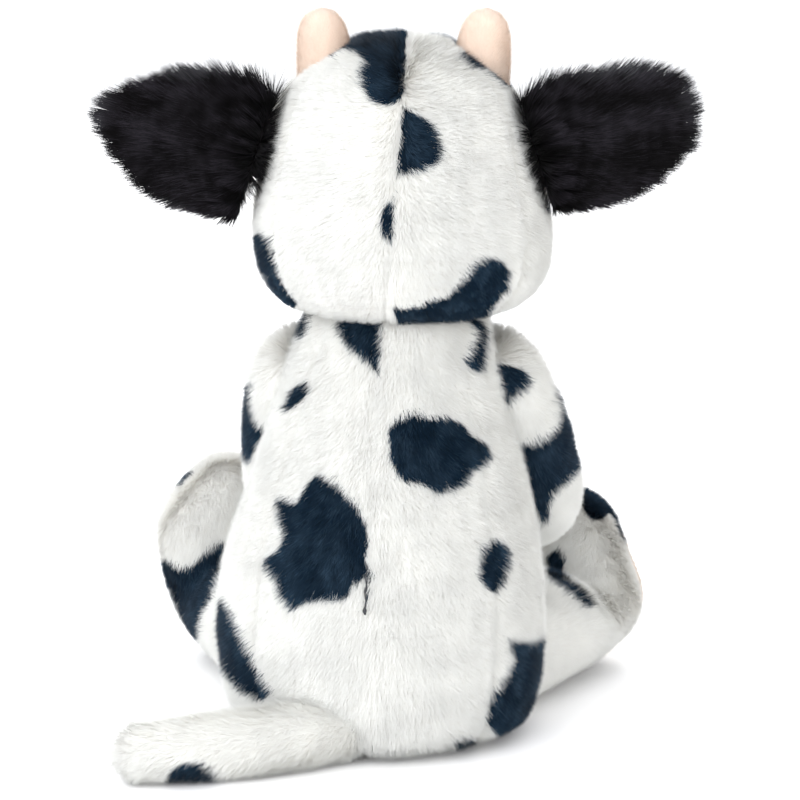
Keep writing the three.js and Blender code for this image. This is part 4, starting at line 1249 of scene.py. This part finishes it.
def nylon_material():
    """Moulded nylon, as it leaves the mould: cream and waxy, with a fine grain of 0.5 mm."""
    material, tree, surface, place = new_material("moulded_nylon")
    grain = add(tree, "TexNoise", {"Vector": place, "Scale": 1500.0, "Detail": 3.0}).outputs["Fac"]
    patterned(tree, surface, grain, "#d9d2c0", "#ece6d8", 0.4, 0.6, 0.2)
    return material


def calico_material():
    """Plain-woven unbleached cotton: threads 0.5 mm apart show as a fine check, with slubs."""
    material, tree, surface, place = new_material("woven_calico", Sheen_Weight=0.2)
    threads = {"Vector": place, "Scale": 320.0, "Distortion": 0.6}
    warp, weft = (
        add(tree, "TexWave", threads, bands_direction=way).outputs["Fac"] for way in ("X", "Z")
    )
    patterned(tree, surface, both(tree, warp, weft, "MULTIPLY"), "#c9bd9f", "#e6dec8", 0.9, 0.75, 0.4)
    return material


def floor_material():
    """Matt white paint on a studio floor: nearly even, with soft clouds a hand wide."""
    material, tree, surface, place = new_material("painted_floor", Roughness=0.9)
    clouds = add(tree, "TexNoise", {"Vector": place, "Scale": 6.0, "Detail": 3.0}).outputs["Fac"]
    colour = blended(tree, clouds, linear("#f6f6f5"), linear("#fbfbfb"))
    tree.links.new(colour, surface.inputs["Base Color"])
    return material


# Naps: the way that the pile lies, before it is brought onto the surface
def head_nap(roots, normals, seam):
    """Outwards from the centre seam and down."""
    local = in_head(roots)
    away = np.clip(seam / 10, -1, 1)
    level = np.clip(local[:, 2] / HEAD_HEIGHT, 0, 1)
    front = np.clip(-local[:, 1] / 40, 0, 1)
    flow = np.stack((away * (0.55 + 0.6 * level), 0.25 * front, -0.95 + 0.75 * level), axis=1)
    return turned(flow, UP, HEAD_TURN_DEG)


def torso_nap(roots, normals, seam):
    """Down, and outwards from the centre seam."""
    away = np.clip(seam / 30, -1, 1)
    flow = np.stack((0.5 * away, np.zeros(len(roots)), np.full(len(roots), -0.9)), axis=1)
    under = np.clip(-normals[:, 2], 0, 1)[:, None]
    return flow + unit(roots * (1, 1, 0)) * under


def along_path(path, drop):
    """Along the nearby part of a path, nearer points counting more, and down by a drop."""
    ahead = unit(np.gradient(path, axis=0))

    def nap(roots, normals, seam):
        apart = ((roots[:, None] - path[None]) ** 2).sum(-1)
        weight = np.exp((apart.min(axis=1, keepdims=True) - apart) / 150)
        return unit(weight @ ahead) - UP * drop

    return nap


def leg_nap(name):
    """Along the thigh and down. On the foot it lies back over the top and down."""
    ahead = leg_ahead(name)

    def nap(roots, normals, seam):
        reach = (roots - HIPS[name]) @ ahead
        on_foot = np.clip((reach - 55) / 25, 0, 1)[:, None]
        back = 0.35 + 1.6 * np.clip(normals[:, 2:], 0, 1)
        return (ahead - 0.45 * UP) * (1 - on_foot) - (UP + ahead * back) * on_foot

    return nap


def ear_place(side, roots):
    """How far out a root is and how high, as shares of the ear's length and greatest half height."""
    root, axis, out, _ = ear_frame(side)
    return (roots - root) @ out / EAR_LENGTH, (roots - root) @ axis / EAR_HALF_HEIGHT


def ear_nap(side):
    """Out to the tip, spread towards the edges, and inwards over the head at the root."""
    _, axis, out, back = ear_frame(side)

    def nap(roots, normals, seam):
        far, tall = ear_place(side, roots)
        near = np.clip(1 - far / 0.25, 0, 1)
        spread = 0.55 * tall * (1 - 0.4 * far - 0.3 * near)
        return out * (1 - 0.7 * near)[:, None] + axis * spread[:, None] + back * 0.1

    return nap


def fixed_nap(direction):
    return lambda roots, normals, seam: np.tile(direction, (len(roots), 1))


# Trims and stands: the pile's length and uprightness by place
def head_trim(roots):
    """Shorter at the horns, side seams, ears, eyes and neck and a little over the crown."""
    local = in_head(roots)
    crown = np.clip((local[:, 2] - 95) / 12, 0, 1)
    neck = np.clip((34 - local[:, 2]) / 26, 0, 1)
    share = (1 - 0.15 * crown) * (1 - 0.62 * neck)
    share = share * (1 - 0.3 * bell(head_side_seam(roots), SIDE_SEAM_TRIM_WIDTH))
    ears = np.hypot(local[:, 1] + HEAD_FORWARD - EAR_BACK, local[:, 2] - EAR_LIFT) / EAR_HALF_HEIGHT
    share = share * (1 - 0.4 * np.clip(1.5 - ears, 0, 1))
    share = share * np.clip(0.2 + from_eyes(roots) / 9, 0.2, 1)
    fuller = np.clip(-local[:, 0] / 45, 0, 1) * np.clip((EAR_LIFT - local[:, 2]) / 25, 0, 1)
    share = share * (1 + 0.2 * fuller)
    for side in SIDES.values():
        reach = np.hypot(local[:, 0] - side * HORN_SPREAD + HORN_OFFSET, local[:, 1] + HEAD_FORWARD)
        share = share * (1 - 0.6 * bell(np.maximum(reach - HORN_RADIUS, 0), 5) * (local[:, 2] > 70))
    return share


def torso_trim(roots):
    """Shorter at the side seams and where the gap was sewn shut."""
    side = 1 - 0.3 * bell(torso_side_seam(roots), SIDE_SEAM_TRIM_WIDTH)
    return side * (1 - 0.4 * bell(torso_seam(roots), 1.4) * at_closed_gap(roots))


def round_end(path):
    """Over the round end of a limb, pile stands up and is shorter."""
    ahead = unit(path[-1] - path[-2])

    def at_end(roots):
        return eased(((roots - path[-1]) @ ahead + 5) / 10)

    return {"stand": lambda roots: 0.75 * at_end(roots), "trim": lambda roots: 1 - 0.25 * at_end(roots)}


def foot_rim(name):
    """Round the sole, pile stands up and is shorter."""
    to_flat = beyond_sole(name)

    def behind(roots):
        return eased((SKIN_INSET - to_flat(roots) - 14) / 22)

    return {
        "stand": lambda roots: 0.3 - 0.3 * behind(roots),
        "trim": lambda roots: 0.55 + 0.45 * behind(roots),
    }


def ear_root(side):
    """Pile stands up along the ear's root, and is shorter at its foot."""

    def trim(roots):
        far, tall = ear_place(side, roots)
        return 1 - 0.6 * np.clip(1.2 - far / 0.3, 0, 1) * np.clip(-tall / 0.7, 0, 1)

    return {"stand": lambda roots: 0.5 * np.clip(1 - ear_place(side, roots)[0] / 0.25, 0, 1), "trim": trim}


def ear_painted_fringe(side):
    """Black all over but for the edge's fringe, painted grey for the light through single tufts."""

    def blackness(points, normals, seam):
        far, tall = ear_place(side, points)
        edge = np.clip((np.maximum(np.abs(tall) * (1 + 0.5 * far), far) - 1.0) / 0.3, 0, 1)
        return 1 - 0.55 * edge * np.clip(0.5 + noise(points, 3.5, 31.0), 0, 1)

    return blackness


# Where pile grows
def towards(direction, least):
    """Keeps roots whose fabric faces a direction by more than a share."""
    return lambda roots, normals: normals @ direction > least


def not_underneath(roots, normals):
    """Leaves out pile that the toy would sit on, but for a rim."""
    return (roots[:, 2] > 3.5) | (normals[:, 2] > -0.75)


def clear_of_eyes(roots, normals):
    return (from_eyes(roots) > 0) & not_underneath(roots, normals)


def ahead_of_head(roots, normals):
    """The part of the muzzle that stands out of the head."""
    return in_head(roots)[:, 1] < muzzle_middle()[1] + 14


def outside_torso(points):
    """Whether a point isn't well inside the body."""
    height = np.clip(points[:, 2], 0, BODY_HEIGHT)
    shares = curve(BODY_LEVEL_SHARES, BODY_RADIUS_SHARES, height / BODY_HEIGHT)
    x = (points[:, 0] - BODY_LEAN * height / BODY_HEIGHT) / (BODY_HALF_WIDTH * shares - 9)
    y = points[:, 1] / (BODY_HALF_DEPTH * shares - 9)
    return x**2 + y**2 > 1


def outside_at_limits(joint_name):
    """Keeps pile that comes out of the body at rest or at either of the joint's limits."""
    joint = next(j for j in frame["joints"] if j["name"] == joint_name)
    place = np.array(joint["pos_m"]) / MM
    low, high = joint["range_deg"]

    def keep(roots, normals):
        out = np.zeros(len(roots), bool)
        for angle in (0, low, high, high / 2):
            out |= outside_torso(turned(roots - place, joint["axis"], angle) + place)
        return not_underneath(roots, normals) & out

    return keep


def clear_of_sole(name):
    """Keeps a leg's pile that comes out of the body, and off the flat that the sole is sewn to."""
    outside = outside_at_limits(f"leg_{name}_spread")
    to_flat = beyond_sole(name)
    return lambda roots, normals: outside(roots, normals) & (to_flat(roots) < SKIN_INSET - 1.2)


# Stuffed skins that Cloth swells
def declare(piece, body, nodes):
    """Attaches a piece to the body it rides on, and hides the CAD nodes it stands for."""
    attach(piece, body)
    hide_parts(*nodes)


def new_skin(name, body, nodes, grids, voxel):
    """A closed skin as one even net, with the walls inside it gone."""
    skin = skin_object(name, grids)
    modifier = skin.modifiers.new("net", "REMESH")
    modifier.mode = "VOXEL"
    modifier.voxel_size = voxel * MM
    modifier.use_smooth_shade = True
    apply_modifiers(skin)
    skin.data.materials.clear()
    declare(skin, body, nodes)
    return skin


def skin_and_stuffing(name):
    return f"{name}_skin", f"{name}_stuffing"


torso = new_skin("torso_skin", "torso", skin_and_stuffing("body"), [body_form(SKIN_INSET)], 5)
head = new_skin("head_back_and_face", "head", skin_and_stuffing("head"), [head_form(SKIN_INSET)], 5)
arms, legs = {}, {}
for name in SIDES:
    arm, leg = f"arm_{name}", f"leg_{name}"
    grids = [arm_form(name, SKIN_INSET - ARM_PLUMPS[name])]
    arms[name] = new_skin(arm, arm, skin_and_stuffing(arm), grids, 4)
    grids = [thigh_form(name, SKIN_INSET), foot_form(name, SKIN_INSET)]
    legs[name] = new_skin(leg, leg, skin_and_stuffing(leg), grids, 4.5)
tail = new_skin("tail_tube", "tail", skin_and_stuffing("tail"), [tail_form(SKIN_INSET)], 4)

held = {
    torso: held_near(floor_distance, neck_band, behind_only(torso_seam, np.asarray)),
    head: held_near(lambda points: points[:, 2] - NECK[2], behind_only(head_seam, in_head)),
    tail: held_near(around(TAIL_ROOT, 8)),
}
for name in SIDES:
    held[arms[name]] = held_near(around(SHOULDERS[name], ARM_RADIUS - SKIN_INSET))
    place, facing = sole_plane(name)
    flat = points_of(legs[name])
    past = np.maximum((flat - place) @ facing + 1.5, 0)
    set_points(legs[name], above_floor(slumped(flat - past[:, None] * facing, name), 3))
    held[legs[name]] = held_near(beyond_sole(name), floor_distance)
swell(list(held.items()))
crease(torso, torso_seam, BODY_SEAM_DEPTH, behind_body)
crease(torso, torso_side_seam, SIDE_SEAM_DEPTH, behind_body)
crease(head, head_seam, HEAD_SEAM_DEPTH, behind_head)
crease(head, head_side_seam, SIDE_SEAM_DEPTH, behind_head)
for skin in held:
    set_points(skin, above_floor(points_of(skin)))


def white_pile(skin, body, nap, spots, keep, seed, seam=None, **ways):
    paint_skin(skin, printed_pile, spots, seam)
    ways.update(keep=keep, seam=seam)
    grow_pile(skin, body, "white_pile", printed_pile, nap, spots, WHITE_PILE, seed, **ways)


keep = not_underneath
white_pile(torso, "torso", torso_nap, body_spots, keep, 11, torso_seam, trim=torso_trim, parting=0.12)
keep = clear_of_eyes
white_pile(head, "head", head_nap, head_spots, keep, 12, head_seam, trim=head_trim, parting=0.3)
for seed, name in enumerate(SIDES, 13):
    spine = arm_spine(name)
    spots = limb_spots(ARM_SPOTS[name], ARM_SPOTS_AHEAD)
    keep = outside_at_limits(f"arm_{name}_lift")
    white_pile(arms[name], f"arm_{name}", along_path(spine, 0.3), spots, keep, seed, **round_end(spine))
for seed, name in enumerate(SIDES, 15):
    spots = limb_spots(LEG_SPOTS[name], LEG_SPOTS_AHEAD)
    ways = foot_rim(name) | {"lean": LIMB_PILE_LEAN_DEG}
    white_pile(legs[name], f"leg_{name}", leg_nap(name), spots, clear_of_sole(name), seed, **ways)
spine = tail_spine()
ways = round_end(spine) | {"lean": LIMB_PILE_LEAN_DEG}
keep = outside_at_limits("tail_swing")
white_pile(tail, "tail", along_path(spine, 0.2), limb_spots(TAIL_SPOTS), keep, 17, **ways)


# Pads that keep their cut shape: ears, horns, muzzle and soles
def velour_pad(name, body, nodes, grid, nap, seed, keep=None, wild=16):
    pad = skin_object(name, [grid])
    declare(pad, body, nodes)
    paint_skin(pad, velour, plain)
    ways = {"lean": VELOUR_LEAN_DEG, "gather": 0.05, "wild": wild, "keep": keep}
    grow_pile(pad, body, "peach_suede", velour, nap, plain, VELOUR_PILE, seed, **ways)


for name, side in SIDES.items():
    body = f"ear_{name}"
    back = ear_frame(side)[3]
    ear = skin_object(f"{body}_back", [ear_form(name, EAR_LENGTH - 2, 0, EAR_HALF_THICKNESS, 1)])
    declare(ear, body, (f"{body}_fur",))
    # The fringe's grey is painted light, for light through its thin tufts.
    fringe = ear_painted_fringe(side)
    paint_skin(ear, shaggy_pile, fringe)
    ways = ear_root(side) | {
        "keep": towards(back, -0.25),
        "lean": EAR_PILE_LEAN_DEG,
        "lock": LYING_LOCK,
        "wild": 8,
        "gather": 0.45,
        "soft": 0.15,
    }
    nap = ear_nap(side)
    grow_pile(ear, body, "black_pile", shaggy_pile, nap, fringe, EAR_PILE, 21 + side, **ways)
    grid = ear_form(name, EAR_LENGTH - 5, EAR_LINING_INSET, EAR_LINING_HALF_THICKNESS, EAR_LINING_SHIFT)
    keep = towards(-back, -0.3)
    velour_pad(f"{body}_front", body, (f"{body}_lining",), grid, nap, 31 + side, keep, NAP_SPREAD_DEG)

for name, side in SIDES.items():
    nodes = skin_and_stuffing(f"horn_{name}")
    grid = horn_form(side, HORN_GROWTH)
    velour_pad(f"horn_{name}_cone", "head", nodes, grid, fixed_nap(UP), 41 + side)
nodes = skin_and_stuffing("muzzle")
velour_pad("muzzle_pad", "head", nodes, muzzle_form(0.8), fixed_nap((0, 0.3, -1.0)), 51, ahead_of_head)
for name, side in SIDES.items():
    _, to_toes, to_sole, _ = foot_frame(name)
    nodes = (f"sole_{name}",)
    body, keep = f"leg_{name}", towards(to_sole, 0.1)
    velour_pad(f"sole_{name}_pad", body, nodes, sole_form(name), fixed_nap(-to_toes), 61 + side, keep)

# Eyes
acrylic = eye_material()
for name, side in SIDES.items():
    eye = skin_object(f"eye_{name}_bead", [eye_form(side)])
    eye.data.materials.append(acrylic)
    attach(eye, "head")
    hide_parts(f"eye_{name}")


# Thread
def stitch(start, end, radius):
    """A thread between two places of the muzzle, by their turn and lift in degrees, arched 1.1 mm."""
    t = np.linspace(0, 1, 9)
    turns, lifts = (start[k] + (end[k] - start[k]) * t for k in (0, 1))
    arch = VELOUR_LENGTH * 0.6 - 1 + 1.1 * np.sin(np.pi * t)
    path = on_muzzle(turns, lifts)
    normal = unit(path - from_head(muzzle_middle()))
    return tube(path + normal * arch[:, None], np.full(9, radius), sides=8)


def satin(turn_degrees, lift_degrees, half_turn, half_lift, count):
    """An oval of satin stitches: upright threads side by side, whose length follows the oval."""
    offsets = np.linspace(-0.92, 0.92, count)
    turns = turn_degrees + offsets * half_turn
    rises = half_lift * np.sqrt(1 - offsets**2)
    ends = zip(turns, lift_degrees - rises, lift_degrees + rises)
    return [stitch((turn, low), (turn, high), 0.42) for turn, low, high in ends]


def mouth():
    """Back stitches along a shallow smile: a parabola that rises to both sides of the crease."""
    turns = np.linspace(-34, 34, 13)
    places = list(zip(turns, -38 + 14 * (turns / 34) ** 2))
    return [stitch(start, end, 0.55) for start, end in zip(places, places[1:])]


def closing_stitches():
    """Ladder stitches drawn tight: a thread down the closed gap at the pile's height, with knots."""
    share = np.linspace(0, 1, 40)
    height = CLOSED_GAP_TOP + (CLOSED_GAP_FOOT - CLOSED_GAP_TOP) * share
    depth = BODY_HALF_DEPTH * curve(BODY_LEVEL_SHARES, BODY_RADIUS_SHARES, height / BODY_HEIGHT)
    sway = CLOSING_SWAY * np.sin(share * CLOSING_STITCHES * np.pi)
    across = BODY_SEAM_FOOT + BODY_SEAM_LEAN * height + sway
    path = np.stack((across, depth + 0.5 * PILE_LENGTH, height), axis=1)
    knots = bell(share - 0.4, 0.06) + 1.6 * bell(share - 0.93, 0.07)
    return [tube(path, CLOSING_THREAD_RADIUS * (0.8 + knots), beside=(1.0, 0, 0), sides=10)]


sewing = thread_material("sewing_thread", "#04070b", "#0c131c")
embroidery = thread_material("embroidery_thread", "#5d3a2e", "#8a5d4b")
for name, threads, material, body, slot in (
    ("closing_stitches", closing_stitches(), sewing, "torso", "white_pile"),
    ("nostril_left_stitches", satin(24, 14, 6.5, 11, 11), embroidery, "head", "peach_suede"),
    ("nostril_right_stitches", satin(-24, 14, 6.5, 11, 11), embroidery, "head", "peach_suede"),
    ("mouth_stitches", mouth(), embroidery, "head", "peach_suede"),
):
    sewn = skin_object(name, threads)
    sewn.data.materials.append(material)
    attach(sewn, body)

# CAD nodes that stay: the eyes' washers behind the fabric, and the pellet bag
for node, material in (
    ("eye_washer_left", nylon_material()),
    ("eye_washer_right", nylon_material()),
    ("pellet_bag", calico_material()),
):
    for slot in frame["nodes"][node].material_slots:
        slot.material = material

# Floor, light and camera
corners = np.array(((-1, -1, 0), (1, -1, 0), (1, 1, 0), (-1, 1, 0))) * FLOOR_REACH
floor = new_object("studio_floor", corners, np.arange(4), np.array((4,)))
floor.data.materials.append(floor_material())
for name, (place, size, power, colour) in LAMPS.items():
    lamp = bpy.data.lights.new(name, "AREA")
    lamp.size = size
    lamp.energy = power
    lamp.color = linear(colour)[:3]
    to_lamp = unit(np.array(place) - CAMERA_AIM * MM)
    aside = unit(np.cross(UP, to_lamp))
    put(name, lamp, aside, np.cross(to_lamp, aside), to_lamp, place)
world = bpy.data.worlds.new("studio")
world.use_nodes = True
world.node_tree.nodes["Background"].inputs["Color"].default_value = linear(STUDIO_COLOUR)
world.node_tree.nodes["Background"].inputs["Strength"].default_value = STUDIO_STRENGTH
bpy.context.scene.world = world
bpy.context.scene.view_settings.view_transform = "Standard"
lens = bpy.data.cameras.new("camera")
lens.sensor_width = SENSOR_WIDTH
lens.lens = FOCAL_PIXELS / PHOTO_PIXELS * SENSOR_WIDTH
bpy.context.scene.camera = put("camera", lens, VIEW_RIGHT, VIEW_UP, TO_CAMERA, CAMERA_PLACE * MM)
